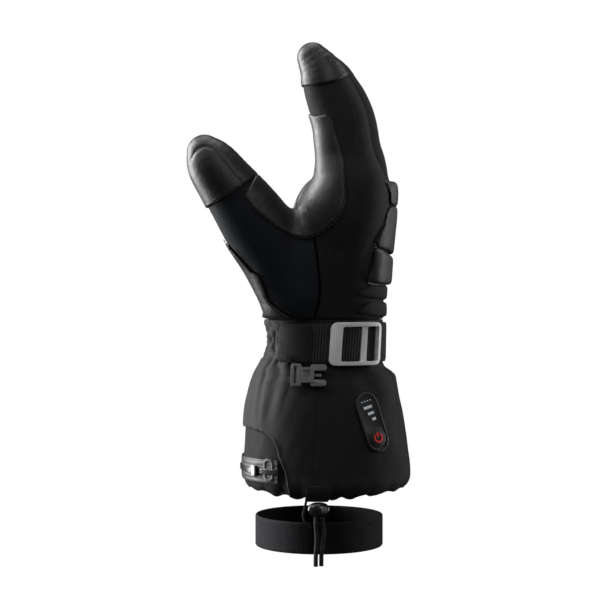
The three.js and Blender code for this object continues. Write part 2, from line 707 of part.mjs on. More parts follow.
const indexEnd = beyondLine(indexCapLine, indexCapTilt, 0).intersect(rightOf(crotch.x));
addPiece("index_tip_cap", mainBody(leatherLayer.intersect(indexEnd)), leather);

// The patch in the crotch, from the thumb's side over the web and up the index finger.
const patchOutline = [
  [-0.7, 1.0], [-0.75, 0.98], [-0.81, 0.9], [-0.85, 0.85], [-0.84, 0.815], [-0.755, 0.745], [-0.62, 0.68],
  [-0.49, 0.617], [-0.37, 0.575], [-0.237, 0.557], [-0.11, 0.583], [0.016, 0.643], [0.106, 0.71],
  [0.152, 0.8], [0.152, 0.955], [0.135, 1.09], [0.06, 1.265], [0.025, 1.36], [-0.025, 1.405], [-0.3, 1.36],
  [-0.3, 1.15],
].map(onHand);
const patchPrism = sidePrism(patchOutline, -farAway, fingerCentre - 0.85 * fingerPitch);
const thumbCapRoom = beyondLine(thumbCapLine, thumbCapTilt, 0).intersect(thumbCapSide);
const patch = leatherLayer.intersect(patchPrism).subtract(thumbCapRoom);
addPiece("crotch_patch", mainBody(patch), leather);

// The palm's leather shows at the edge below the thumb and covers the palm behind it.
const palmEdge = [
  [-0.36, 0.015], [-0.6, 0.1], [-0.71, 0.3], [-0.79, 0.31], [-1.0, 0.48], [-1.6, 0.6], [-1.6, 0.015],
].map(onHand);
const palmFace = [[-0.12, 0.015], [-0.12, 0.86], [-1.0, 0.86], [-1.0, 0.015]].map(onHand);
const palmSide = thumbRoot.y + 0.35 * thumbBreadth;
const palmPrism = sidePrism(palmEdge, -farAway, farAway).add(sidePrism(palmFace, palmSide, farAway));
const palm = leatherLayer.intersect(palmPrism).subtract(thumbWedge(-3 * clearance)).subtract(patchPrism);
addPiece("palm_leather", mainBody(palm), leather);

// The padded guard over the knuckles and the two soft ridges below it, with a groove between each two.
const guardFoot = 0.262;
const guardShare = guardLength / palmLength;
const guardRise = (share) => guardFoot + share * guardShare;
const groove = clearance / palmLength;
const guardLayer = layerOver(guardThickness);
const guardPads = {
  knuckle_guard_lower: [
    [0.4, guardRise(0)], [0.47, guardRise(0.43)], [0.62, guardRise(0.36)], [1.2, guardRise(0.1)],
    [1.2, guardRise(-0.1)], [0.62, guardRise(-0.02)],
  ],
  knuckle_guard_upper: [
    [0.475, guardRise(0.47) + groove], [0.66, guardRise(0.985)], [1.2, guardRise(0.985)],
    [1.2, guardRise(0.14) + groove], [0.62, guardRise(0.4) + groove],
  ],
  knuckle_guard_top: [
    [0.67, guardRise(1) + groove], [0.6, guardRise(1.3)], [1.2, guardRise(1.3)],
    [1.2, guardRise(1) + groove],
  ],
};
for (const [name, outline] of Object.entries(guardPads)) {
  const pad = guardLayer.intersect(sidePrism(outline.map(onHand), -farAway, farAway));
  addPiece(name, mainBody(pad), guardLeather);
}

const ridgeLayer = layerOver(ridgeThickness);
const ridgeRise = (share) => wristSeamHeight + share * guardFoot * palmLength;
const ridges = [
  { name: "flex_ridge_lower", from: 0.08, to: 0.47 },
  { name: "flex_ridge_upper", from: 0.5, to: 0.88 },
];
for (const ridge of ridges) {
  const low = [0.3 * knuckleDepth, -farAway, ridgeRise(ridge.from)];
  const band = block(low, [farAway, farAway, ridgeRise(ridge.to)]);
  addPiece(ridge.name, mainBody(ridgeLayer.intersect(band)), softshell);
}

// The wrist strap: webbing round the back of the wrist, its cover tab and its ladder-lock buckle
const tabCentre = -0.26 * wristDepth;
const strapStart = tabCentre - 0.4 * tabLength;
const strapLift = 2 * clearance;
const strapFrom = thumbSideAngle(strapStart, strapHeight);
const strapTo = 0.72 * Math.PI;
const strap = bent(sheet([strapFrom, strapLow, 0], [strapTo, strapHigh, strapThickness], 36, 1), (point) => {
  point.copy(strapPoint(point.x, point.y, strapLift + point.z));
});
addPiece("wrist_strap", strap, webbing);

const overStrap = strapLift + strapThickness + clearance;
const tabOutline = roundedOutline(tabLength, strapWidth, 3, 2);
const tab = ringPlate(tabOutline, 3, overStrap, tabThickness);
addPiece("strap_cover_tab", laidOnStrap(tab, tabCentre, strapHeight), softshell);

// The frame has a window on each side of its middle bar, where the webbing shows.
const buckleCentre = 0.225 * wristDepth;
const buckleHeight = strapHeight - 0.5;
const buckleFrame = solidFrom(laidOnStrap(
  ringPlate(roundedOutline(buckleLength, buckleWidth, 4, 3), 4, overStrap, buckleThickness),
  buckleCentre, buckleHeight,
));
const windowHeight = buckleWidth / 2 - buckleThinBar;
const rightEdge = buckleLength / 2 - buckleThinBar;
const leftEdge = -buckleLength / 2 + buckleEndBar;
const barCentre = (leftEdge + rightEdge) / 2 + 1;
const windows = [[leftEdge, barCentre - buckleMiddleBar / 2], [barCentre + buckleMiddleBar / 2, rightEdge]];
const buckle = windows.reduce((frame, [from, to]) => {
  const low = [from, -windowHeight, overStrap - 2];
  const high = [to, windowHeight, overStrap + buckleThickness + 2];
  return frame.subtract(solidFrom(laidOnStrap(sheet(low, high, 3, 1), buckleCentre, buckleHeight)));
}, buckleFrame);
addPiece("strap_buckle", buckle, hardPlastic);

// The side-release plug: a bar with a slot, a waisted body and two prongs, hung from a small loop
const plugCentre = tabCentre + 0.31 * plugLength;
const plugHeight = strapLow - 3 * clearance - plugWidth / 2;
const plugBlock = (from, to, low, high, extra = 0) => solidFrom(sheet(
  [(from - 0.5) * plugLength, low * plugWidth, -extra],
  [(to - 0.5) * plugLength, high * plugWidth, plugThickness + extra], 1, 1,
));
const plugShape = plugBlock(0, 0.3, -0.5, 0.5)
  .add(plugBlock(0.25, 0.65, -0.34, 0.34))
  .add(plugBlock(0.6, 1, 0.2, 0.48))
  .add(plugBlock(0.6, 1, -0.48, -0.2))
  .add(plugBlock(0.6, 0.86, -0.06, 0.06))
  .subtract(plugBlock(0.09, 0.17, -0.34, 0.34, 1));
const plugLift = 3 * clearance;
const plug = stoodOnBody(geometryFrom(plugShape), plugCentre, plugHeight, plugWidth, plugLift);
addPiece("clip_plug", plug, hardPlastic);

const loopCentre = plugCentre - 0.36 * plugLength;
const overTab = overStrap + tabThickness + clearance;
const plugTop = plugHeight + plugWidth / 2;
const loop = sheet(
  [-clipLoop.width / 2, plugTop + clearance, overTab],
  [clipLoop.width / 2, plugTop + clipLoop.rise, overTab + clipLoop.thickness], 1, 1,
);
addPiece("clip_loop", laidOnStrap(loop.translate(0, -strapHeight, 0), loopCentre, strapHeight), webbing);

// The control pad with its button
const padCentre = { x: 0.235 * cuffDepth, z: -0.5 * cuffLength };
const padTilt = THREE.MathUtils.degToRad(15);
const padRim = (share) => 0.5 + 0.5 * Math.min(1, 3 * (1 - share));
const padOutline = roundedOutline(padWidth, padLength, padWidth / 2, 4);
const pad = ringPlate(padOutline, 3, clearance, padThickness, padRim);
addPiece("control_pad", laidOnBody(pad, padCentre.x, padCentre.z, padTilt), rubber);
const buttonDrop = padLength / 2 - padWidth / 2 - 1;
const dome = (share) => 1 - 0.6 * share ** 3;
const button = ringPlate(
  roundedOutline(2 * buttonRadius, 2 * buttonRadius, buttonRadius, 3), 2,
  2 * clearance + padThickness, buttonThickness, dome,
).translate(0, -buttonDrop, 0);
addPiece("power_button", laidOnBody(button, padCentre.x, padCentre.z, padTilt), redRubber);

// The battery pocket's zipper lies in the recess round the palm side.
const zipperHeight = -0.835 * cuffLength;
const zipperSide = thumbSideAngle(-0.385 * cuffDepth, zipperHeight);
const inRecess = clearance - recessDepth;
const zipper = bent(
  sheet([-2 * Math.PI - zipperSide, zipperHeight - zipperWidth / 2, 0],
    [zipperSide, zipperHeight + zipperWidth / 2, zipperThickness], 14, 2),
  (point) => point.copy(bodyPoint(point.x, point.y, inRecess + point.z)),
);
addPiece("zipper", zipper, reflectiveTape);

const overZipper = inRecess + zipperThickness + clearance;
const sliderX = -0.42 * cuffDepth;
const slider = ringPlate(
  roundedOutline(zipSlider.width, zipSlider.height, 1.5, 2), 1, overZipper, zipSlider.thickness);
addPiece("zip_slider", laidOnBody(slider, sliderX, zipperHeight), hardPlastic);
const pullX = -0.345 * cuffDepth;
const pullPlate = (wall, low, thickness) => solidFrom(laidOnBody(
  ringPlate(
    roundedOutline(zipPull.width - 2 * wall, zipPull.height - 2 * wall, zipPull.width / 2 - wall - 0.1, 2),
    1, low, thickness),
  pullX, zipperHeight + 1,
));
const pullHole = pullPlate(zipPull.wall, inRecess - 1, zipPull.thickness + 2);
const pullRing = pullPlate(0, inRecess, zipPull.thickness).subtract(pullHole);
addPiece("zip_pull", pullRing, cordYarn);

// The tab at the hem, the cord lock under it and the two free ends of the draw cord
const lockX = -0.061 * cuffDepth;
const tabHeight = -cuffLength + hemTabHeight / 2 - 2;
const hemTab = ringPlate(roundedOutline(hemTabWidth, hemTabHeight, 2.5, 3), 3, clearance, tabThickness);
addPiece("hem_tab", laidOnBody(hemTab, lockX, tabHeight), softshell);

const hemFront = bodyPoint(thumbSideAngle(lockX, tabHeight), -cuffLength, 0);
const lockCentre = new THREE.Vector3(
  lockX, hemFront.y - 1, tabHeight - hemTabHeight / 2 - clearance - cordLockHeight / 2);
const lock = new THREE.SphereGeometry(1, 14, 8)
  .scale(cordLockWidth / 2, cordLockHeight / 2, cordLockHeight / 2)
  .translate(...lockCentre);
addPiece("cord_lock", lock, hardPlastic);

// A cord's tube along a curve through its points.
function cordTube(points, diameter, steps) {
  const ring = [];
  for (let i = 0; i < 8; i++)
    ring.push(new THREE.Vector2(diameter / 2, 0).rotateAround(new THREE.Vector2(), (i * Math.PI) / 4));
  const path = new THREE.CatmullRomCurve3(points.map((point) => new THREE.Vector3(...point)));
  const settings = { steps, extrudePath: path, bevelEnabled: false };
  return solidFrom(new THREE.ExtrudeGeometry(new THREE.Shape(ring), settings));
}

// Each cord's points are chosen by hand, measured from the middle of the lock.
const fromLock = (points) =>
  points.map(([x, y, z]) => [lockCentre.x + x, lockCentre.y + y, lockCentre.z + z]);
const rightEnd = [
  [2.3, 0.1, -4.7], [2.6, 0, -8], [3.0, -0.2, -12], [3.1, -0.4, -16], [2.7, -0.5, -20],
  [2.2, -0.4, -24], [1.8, -0.2, -28], [1.7, 0, -31], [1.7, 0.1, -35.4],
];
const leftEnd = [
  [-1.6, 0.1, -4.9], [-1.7, 0.2, -8], [-1.5, 0.4, -12], [-1.2, 0.5, -16], [-1.1, 0.6, -20],
  [-1.4, 0.6, -24], [-1.7, 0.4, -28], [-1.8, 0.3, -31], [-1.8, 0.2, -35.8],
];
addPiece("drawcord_right", cordTube(fromLock(rightEnd), drawcordDiameter, 8), cordYarn);
addPiece("drawcord_left", cordTube(fromLock(leftEnd), drawcordDiameter, 8), cordYarn);

// The leash: an elastic band in a level ring under the cuff, on a thin cord from inside the hem
const half = leashBandThickness / 2;
const leashBottom = leashTop - leashBandWidth;
const bandProfile = [
  [leashRadius - half, leashBottom], [leashRadius + half, leashBottom], [leashRadius + half, leashTop],
  [leashRadius - half, leashTop], [leashRadius - half, leashBottom],
].map(([r, z]) => new THREE.Vector2(r, z));
const leashCentre = -0.054 * cuffDepth;
const band = new THREE.LatheGeometry(bandProfile, 40).rotateX(Math.PI / 2).translate(leashCentre, 0, 0);
addPiece("leash_band", band, elastic);

const seamX = leashCentre - 5;
const seamY = -leashRadius - half - clearance - leashCordDiameter / 2;
const leashPoints = [
  [-7.2, 6.6, 16.5], [-7.3, 6.6, 11], [-7.4, 6.3, 6.5], [-8.4, 5.2, 1.5], [-9.3, 4.8, -2], [-9.6, 5, -5.2],
  [-8.6, 5.8, -8.2], [-6.4, 6.9, -10.4],
];
const leashCord = [...fromLock(leashPoints), [seamX, seamY, leashTop - 3.5]];
addPiece("leash_cord", cordTube(leashCord, leashCordDiameter, 14), cordYarn);

export default glove;
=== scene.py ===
# %% [markdown]
# # A heated winter glove
# A right-hand glove with a long gauntlet stands upright, seen from its thumb side. Cloth, leather and straps
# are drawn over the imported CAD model. Lengths in this file are millimetres until a mesh is made, because a
# glove maker thinks in millimetres. `metres` turns them into Blender's units in one place.

# %% Load the frame
import math
import bpy
import numpy as np
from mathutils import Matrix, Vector


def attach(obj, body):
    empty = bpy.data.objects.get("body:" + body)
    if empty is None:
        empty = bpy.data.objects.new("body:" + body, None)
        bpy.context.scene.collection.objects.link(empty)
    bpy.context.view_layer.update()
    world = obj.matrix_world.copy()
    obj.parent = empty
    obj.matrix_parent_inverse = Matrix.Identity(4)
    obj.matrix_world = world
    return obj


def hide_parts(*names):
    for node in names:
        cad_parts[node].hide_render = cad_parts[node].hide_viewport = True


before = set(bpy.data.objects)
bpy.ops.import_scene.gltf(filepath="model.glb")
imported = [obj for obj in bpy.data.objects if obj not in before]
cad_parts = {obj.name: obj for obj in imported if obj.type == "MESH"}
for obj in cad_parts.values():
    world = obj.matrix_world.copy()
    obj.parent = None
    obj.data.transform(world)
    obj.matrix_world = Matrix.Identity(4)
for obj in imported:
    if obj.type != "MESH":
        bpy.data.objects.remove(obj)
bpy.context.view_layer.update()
scene = bpy.context.scene
print("CAD nodes:", len(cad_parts))

# %% [markdown]
# ## Camera
# The picture is taken level, from a metre away, straight at the thumb side. The lens is worked out from the
# millimetres that one pixel covers.

# %% Camera
CAMERA = np.array([-18.5, -1000.0, 29.7])
MM_PER_PIXEL = 0.66
PICTURE = 600

camera_data = bpy.data.cameras.new("camera")
camera_data.sensor_width = 36
camera_data.lens = 36 * 1000 / (PICTURE * MM_PER_PIXEL)
camera = bpy.data.objects.new("camera", camera_data)
scene.collection.objects.link(camera)
camera.location = CAMERA / 1000
camera.rotation_euler = (math.radians(90), 0, 0)
scene.camera = camera
print("lens", round(camera_data.lens, 1), "mm")

# %% [markdown]
# ## Cords
# Three thin cords hang below the hem: the two tails of the draw cord under its lock, and the leash's own
# cord, which runs from the hem down to the elastic band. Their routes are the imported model's, point for
# point. Each is a tube of rings along its route, because a curve's bounds come out far too large.

# %% Cord routes
LOCK = np.array([-6.83, -49.85, -101.7])
DRAWCORD, LEASH_CORD = 2.8, 1.6
RIGHT_TAIL = [(2.3, .1, -4.7), (2.6, 0, -8), (3.0, -.2, -12), (3.1, -.4, -16), (2.7, -.5, -20),
              (2.2, -.4, -24), (1.8, -.2, -28), (1.7, 0, -31), (1.7, .1, -35.4)]
LEFT_TAIL = [(-1.6, .1, -4.9), (-1.7, .2, -8), (-1.5, .4, -12), (-1.2, .5, -16), (-1.1, .6, -20),
             (-1.4, .6, -24), (-1.7, .4, -28), (-1.8, .3, -31), (-1.8, .2, -35.8)]
LEASH_ROUTE = [(-7.2, 6.6, 16.5), (-7.3, 6.6, 11), (-7.4, 6.3, 6.5), (-8.4, 5.2, 1.5), (-9.3, 4.8, -2),
               (-9.6, 5, -5.2), (-8.6, 5.8, -8.2), (-6.4, 6.9, -10.4), (-4.22, 6.75, -13.1)]

def smooth_line(points, closed=False, step=1.0):
    """Points a step apart on a smooth curve through a few points."""
    points = np.asarray(points, float)
    count = len(points)
    around = np.vstack([points[-1], points, points[:2]]) if closed else np.vstack([
        2 * points[0] - points[1], points, 2 * points[-1] - points[-2]])
    line = []
    for i in range(count if closed else count - 1):
        a, b, c, d = around[i:i + 4]
        t = np.linspace(0, 1, max(int(np.linalg.norm(c - b) / step), 1), endpoint=False)[:, None]
        line.append(0.5 * (2 * b + (c - a) * t + (2 * a - 5 * b + 4 * c - d) * t ** 2
                           + (3 * b - a - 3 * c + d) * t ** 3))
    return np.vstack(line + ([] if closed else [points[-1:]]))

def tube(name, line, radius, around=12):
    """A closed tube along a line, in metres, with millimetres along and round it in its UV map."""
    along = np.gradient(line, axis=0)
    along /= np.linalg.norm(along, axis=1, keepdims=True)
    aside = np.cross(along, [0.0, 1.0, 0.0])
    aside /= np.linalg.norm(aside, axis=1, keepdims=True)
    upward = np.cross(aside, along)
    turns = np.linspace(0, 2 * math.pi, around, endpoint=False)
    rings = line[:, None] + radius * (np.cos(turns)[None, :, None] * aside[:, None]
                                      + np.sin(turns)[None, :, None] * upward[:, None])
    count = len(line)
    faces = [(r * around + k, r * around + (k + 1) % around,
              (r + 1) * around + (k + 1) % around, (r + 1) * around + k)
             for r in range(count - 1) for k in range(around)]
    faces += [tuple(range(around - 1, -1, -1)), tuple(range((count - 1) * around, count * around))]
    mesh = bpy.data.meshes.new(name)
    mesh.from_pydata(rings.reshape(-1, 3).tolist(), [], faces)
    mesh.polygons.foreach_set("use_smooth", [len(face) == 4 for face in faces])
    run = np.concatenate([[0], np.cumsum(np.linalg.norm(np.diff(line, axis=0), axis=1))]) * 1000
    uv = mesh.uv_layers.new(name="UVMap")
    for polygon in mesh.polygons:
        seam = len(polygon.vertices) == 4 and max(v % around for v in polygon.vertices) == around - 1
        for loop, vertex in zip(polygon.loop_indices, polygon.vertices):
            turn = vertex % around
            if seam and turn == 0:
                turn = around
            uv.data[loop].uv = (run[vertex // around], turn / around * 2 * math.pi * radius * 1000)
    piece = bpy.data.objects.new(name, mesh)
    scene.collection.objects.link(piece)
    return piece

def free_cord(name, route, diameter):
    """A round cord through points given from the cord lock's centre, in millimetres."""
    line = smooth_line((LOCK + np.array(route)) / 1000, step=0.0009)
    piece = tube(name, line, diameter / 2000)
    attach(piece, "root")
    return piece

right_tail = free_cord("drawcord_tail_right", RIGHT_TAIL, DRAWCORD)
left_tail = free_cord("drawcord_tail_left", LEFT_TAIL, DRAWCORD)
leash_line = free_cord("leash_line", LEASH_ROUTE, LEASH_CORD)
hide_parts("drawcord_right")
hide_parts("drawcord_left")
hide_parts("leash_cord")

# %% [markdown]
# ## Studio
# A black glove on white shows its form through its edges, so two soft boxes stand beside and a little behind
# it, weaker ones fill the front and the upper left, and one hangs above. The floor is a plain white sheet
# well below the glove.

# %% Lights and floor
def soft_box(name, place, size, watts, colour=(1, 1, 1), aim=(-0.01, 0, 0.03)):
    data = bpy.data.lights.new(name, "AREA")
    data.shape = "RECTANGLE"
    data.size, data.size_y = size
    data.energy = watts
    data.color = colour
    lamp = bpy.data.objects.new(name, data)
    scene.collection.objects.link(lamp)
    lamp.location = place
    lamp.visible_camera = False
    lamp.rotation_euler = (Vector(aim) - Vector(place)).to_track_quat("-Z", "Y").to_euler()
    return lamp

soft_box("left_rim", (-1.0, 0.3, 0.25), (0.45, 1.5), 44)
soft_box("right_rim", (1.0, 0.35, 0.2), (0.5, 1.5), 8)
soft_box("left_key", (-0.8, -0.5, 0.9), (0.3, 0.6), 4)
soft_box("front_fill", (0.55, -1.2, 0.75), (0.9, 0.9), 4.5)
soft_box("top_light", (-0.1, 0.1, 1.1), (1.0, 0.8), 8)

world = bpy.data.worlds.new("studio")
scene.world = world
world.use_nodes = True
sky = world.node_tree
sky.nodes.clear()
sky_out = sky.nodes.new("ShaderNodeOutputWorld")
sky_mix = sky.nodes.new("ShaderNodeMixShader")
sky_path = sky.nodes.new("ShaderNodeLightPath")
sky_dim = sky.nodes.new("ShaderNodeBackground")
sky_dim.inputs["Color"].default_value = (1, 1, 1, 1)
sky_dim.inputs["Strength"].default_value = 0.06
sky_white = sky.nodes.new("ShaderNodeBackground")
sky_white.inputs["Color"].default_value = (1, 1, 1, 1)
sky_white.inputs["Strength"].default_value = 1.0
sky.links.new(sky_path.outputs["Is Camera Ray"], sky_mix.inputs[0])
sky.links.new(sky_dim.outputs[0], sky_mix.inputs[1])
sky.links.new(sky_white.outputs[0], sky_mix.inputs[2])
sky.links.new(sky_mix.outputs[0], sky_out.inputs[0])
scene.view_settings.view_transform = "Standard"

bpy.ops.mesh.primitive_plane_add(size=6, location=(0, 0, -0.3))
floor = bpy.context.object
floor.name = "floor"
floor_paint = bpy.data.materials.new("white_floor")
floor_paint.use_nodes = True
floor_paint.node_tree.nodes.clear()
floor_glow = floor_paint.node_tree.nodes.new("ShaderNodeEmission")
floor_out = floor_paint.node_tree.nodes.new("ShaderNodeOutputMaterial")
floor_paint.node_tree.links.new(floor_glow.outputs[0], floor_out.inputs[0])
floor.data.materials.append(floor_paint)
floor.visible_diffuse = floor.visible_glossy = False

# %% [markdown]
# ## Tables of sizes
# A glove's shape is a row of sections, as on a last: each row says how far the section reaches. A smooth
# curve through the rows gives any section between them, so a few numbers make a long soft form.

# %% Smooth tables
def column(stations, values, at):
    """Values on a smooth curve through a table's column."""
    stations, values = np.asarray(stations, float), np.asarray(values, float)
    slopes = np.gradient(values)
    slopes[1:-1] = (values[2:] - values[:-2]) / (stations[2:] - stations[:-2])
    slopes[0] = (values[1] - values[0]) / (stations[1] - stations[0])
    slopes[-1] = (values[-1] - values[-2]) / (stations[-1] - stations[-2])
    at = np.asarray(at, float)
    i = np.clip(np.searchsorted(stations, at, side="right") - 1, 0, len(stations) - 2)
    span = stations[i + 1] - stations[i]
    t = np.clip((at - stations[i]) / span, 0, 1)
    hold = (1 + 2 * t) * (1 - t) ** 2 * values[i] + t * t * (3 - 2 * t) * values[i + 1]
    return hold + span * (t * (1 - t) ** 2 * slopes[i] - t * t * (1 - t) * slopes[i + 1])

def smoothstep(low, high, value):
    t = np.clip((value - low) / (high - low), 0, 1)
    return t * t * (3 - 2 * t)

# %% Sections of the body
CUFF_LENGTH, CUFF_DEPTH, CUFF_WIDTH = 95, 112, 104
WRIST_TOP, WRIST_DEPTH, WRIST_WIDTH = 17, 76, 84
PALM_LENGTH, KNUCKLE_DEPTH, KNUCKLE_WIDTH = 92, 62, 113

# height, reach to the palm, to the back, to the thumb side, to the little side, squareness
BODY = np.array(
    [(-h * CUFF_LENGTH, p * CUFF_DEPTH, b * CUFF_DEPTH, s * CUFF_WIDTH, s * CUFF_WIDTH, q)
     for h, p, b, s, q in [
        (1.0, 0.478, 0.414, 0.471, 2.1), (0.955, 0.502, 0.463, 0.495, 2.1), (0.85, 0.513, 0.482, 0.5, 2.1),
        (0.63, 0.506, 0.46, 0.492, 2.15), (0.41, 0.49, 0.43, 0.475, 2.2), (0.24, 0.456, 0.402, 0.445, 2.25)]]
    + [(h * WRIST_TOP, p * WRIST_DEPTH, b * WRIST_DEPTH, s * WRIST_WIDTH, l * WRIST_WIDTH, q)
       for h, p, b, s, l, q in [
        (-1.1, 0.655, 0.575, 0.532, 0.532, 2.25), (-0.78, 0.62, 0.488, 0.51, 0.51, 2.3),
        (-0.4, 0.57, 0.468, 0.498, 0.498, 2.3), (0, 0.535, 0.465, 0.493, 0.493, 2.3),
        (0.5, 0.54, 0.47, 0.495, 0.495, 2.3), (1.0, 0.56, 0.48, 0.51, 0.505, 2.3)]]
    + [(WRIST_TOP + h * PALM_LENGTH, p * KNUCKLE_DEPTH, b * KNUCKLE_DEPTH,
        s * KNUCKLE_WIDTH, l * KNUCKLE_WIDTH, q)
       for h, p, b, s, l, q in [
        (0.14, 0.62, 0.588, 0.41, 0.4, 2.35), (0.31, 0.545, 0.605, 0.445, 0.43, 2.4),
        (0.47, 0.485, 0.62, 0.475, 0.455, 2.45), (0.63, 0.42, 0.642, 0.5, 0.465, 2.5),
        (0.77, 0.36, 0.66, 0.503, 0.46, 2.5), (0.88, 0.3, 0.652, 0.5, 0.455, 2.5),
        (1.0, 0.2, 0.625, 0.49, 0.45, 2.5)]])

def section(height):
    palm, back, thumb_side, little_side, square = (
        column(BODY[:, 0], BODY[:, k], height) for k in range(1, 6))
    return ((back - palm) / 2, (little_side - thumb_side) / 2,
            (palm + back) / 2, (thumb_side + little_side) / 2, square)

def reach(parts, angle):
    a, b, square = parts[2:]
    return ((abs(np.cos(angle)) / a) ** square + (abs(np.sin(angle)) / b) ** square) ** (-1 / square)

def body_point(angle, height, outside=0.0):
    """Points of the body's plain surface at an angle round it, or a distance outside it."""
    def at(turn, level):
        parts = section(level)
        far = reach(parts, turn)
        return np.stack([parts[0] + far * np.cos(turn), parts[1] + far * np.sin(turn), level + 0 * far], -1)
    angle, height = np.broadcast_arrays(np.asarray(angle, float), np.asarray(height, float))
    around = at(angle + 0.01, height) - at(angle - 0.01, height)
    up = at(angle, height + 0.5) - at(angle, height - 0.5)
    normal = np.cross(around, up)
    normal /= np.linalg.norm(normal, axis=-1, keepdims=True)
    return at(angle, height) + normal * np.asarray(outside)[..., None]

def thumb_side_angle(x, height):
    """The angle on the thumb side where the body's surface lies at a given x."""
    low, high = -math.pi, 0.0
    for _ in range(40):
        middle = (low + high) / 2
        if body_point(middle, height)[0] < x:
            low = middle
        else:
            high = middle
    return (low + high) / 2

print("wrist section", [round(float(v), 1) for v in section(0)])

# %% [markdown]
# ## The hand as one field
# Fingers, thumb and palm flow into each other, which is hard to draw as one net of faces by hand. A field of
# distances does it: each finger and the palm says how far a point lies from its skin, the smaller distance
# wins, and a soft union rounds the webs. Every cloth panel and leather patch is then a slice of that one
# field, so they all fit. `skin_mesh` puts one point in each small cell that the skin crosses.

# %% Fingers, thumb and palm
FINGER_THICKNESS, FINGER_BREADTH, THUMB_THICKNESS, THUMB_BREADTH = 38, 27, 44, 36
FINGER_PITCH = FINGER_BREADTH + 0.3
FINGER_CENTRE = -0.02 * KNUCKLE_WIDTH
WEB_HEIGHT = WRIST_TOP + PALM_LENGTH
TRUNK_BOTTOM = WRIST_TOP - 12
THUMB_LENGTH = 98
THUMB_ROOT = np.array([-0.4 * KNUCKLE_DEPTH, -0.28 * KNUCKLE_WIDTH, WRIST_TOP + 0.2 * PALM_LENGTH])

# station, rise, forward, half thickness, half breadth
FINGER_ROWS = np.array([
    (0, -0.12, 0.04, 0.5, 0.47), (0.15, 0.06, 0, 0.485, 0.48), (0.35, 0.27, 0.042, 0.462, 0.485),
    (0.55, 0.46, 0.07, 0.447, 0.48), (0.7, 0.6, 0.12, 0.43, 0.47), (0.8, 0.7, 0.165, 0.39, 0.45),
    (0.9, 0.8, 0.2, 0.32, 0.41), (1, 0.9, 0.262, 0.225, 0.3)])
# name: length, x, lane, start, scale
FINGERS = {
    "index": (92, 0.219, -1.5, -0.1, 1), "middle": (88, 0.327, -0.5, -0.06, 1),
    "ring": (80, 0.29, 0.5, -0.08, 0.98), "little": (64, 0.25, 1.46, -0.12, 0.86)}
# station, out, rise, aside, half thickness, half breadth
THUMB_ROWS = np.array([
    (0, 0, 0, 0, 0.44, 0.47), (0.22, 0.1, 0.24, 0.05, 0.49, 0.5), (0.42, 0.21, 0.41, 0.1, 0.49, 0.49),
    (0.56, 0.3, 0.54, 0.14, 0.45, 0.46), (0.72, 0.41, 0.69, 0.17, 0.385, 0.42),
    (0.86, 0.49, 0.8, 0.19, 0.335, 0.37), (1, 0.545, 0.885, 0.2, 0.22, 0.26)])

def finger_path(name):
    length, x, lane, start, scale = FINGERS[name]
    station, rise, forward, half, breadth = FINGER_ROWS.T
    return np.array([
        station, x * KNUCKLE_DEPTH - forward * length, 0 * station + FINGER_CENTRE + lane * FINGER_PITCH,
        WEB_HEIGHT + start * PALM_LENGTH + rise * length, half * FINGER_THICKNESS * scale,
        breadth * FINGER_BREADTH * scale])

def thumb_path():
    station, out, rise, aside, half, breadth = THUMB_ROWS.T
    return np.array([
        station, THUMB_ROOT[0] - out * THUMB_LENGTH, THUMB_ROOT[1] - aside * THUMB_LENGTH,
        THUMB_ROOT[2] + rise * THUMB_LENGTH, half * THUMB_THICKNESS, breadth * THUMB_BREADTH])

LIMBS = {name: finger_path(name) for name in FINGERS}
LIMBS["thumb"] = thumb_path()

def limb_distance(path, x, y, z, steps=26):
    """Distance from a finger's skin, negative inside it."""
    stops = np.linspace(0, path[0, -1], steps + 1)
    px, py, pz, half, breadth = (column(path[0], row, stops).tolist() for row in path[1:])
    nearest = None
    for i in range(steps):
        dx, dz = px[i + 1] - px[i], pz[i + 1] - pz[i]
        t = np.clip(((x - px[i]) * dx + (z - pz[i]) * dz) / (dx * dx + dz * dz), 0, 1)
        across = np.hypot(x - px[i] - t * dx, z - pz[i] - t * dz)
        aside = y - (py[i] + t * (py[i + 1] - py[i]))
        share = np.hypot(across / (half[i] + t * (half[i + 1] - half[i])),
                         aside / (breadth[i] + t * (breadth[i + 1] - breadth[i])))
        distance = np.hypot(across, aside) * (1 - 1 / np.maximum(share, 1e-3))
        nearest = distance if nearest is None else np.minimum(nearest, distance)
    return nearest

def soft_union(one, other, blend):
    share = np.maximum(blend - abs(one - other), 0) / blend
    return np.minimum(one, other) - share * share * blend / 4

def soft_cut(one, other, blend):
    """Where both are inside, with the edge between them rounded."""
    return -soft_union(-one, -other, blend)

def trunk_distance(x, y, z):
    parts = section(np.clip(z, TRUNK_BOTTOM, WEB_HEIGHT))
    side = np.hypot(x - parts[0], y - parts[1]) - reach(parts, np.arctan2(y - parts[1], x - parts[0]))
    return np.maximum(-soft_union(-side, WEB_HEIGHT - z, 10), TRUNK_BOTTOM - z)

def palm_hand(x, y, z):
    """Palm, index finger and thumb, which share one soft skin."""
    with_index = soft_union(trunk_distance(x, y, z), limb_distance(LIMBS["index"], x, y, z), 13)
    return soft_union(with_index, limb_distance(LIMBS["thumb"], x, y, z), 13)

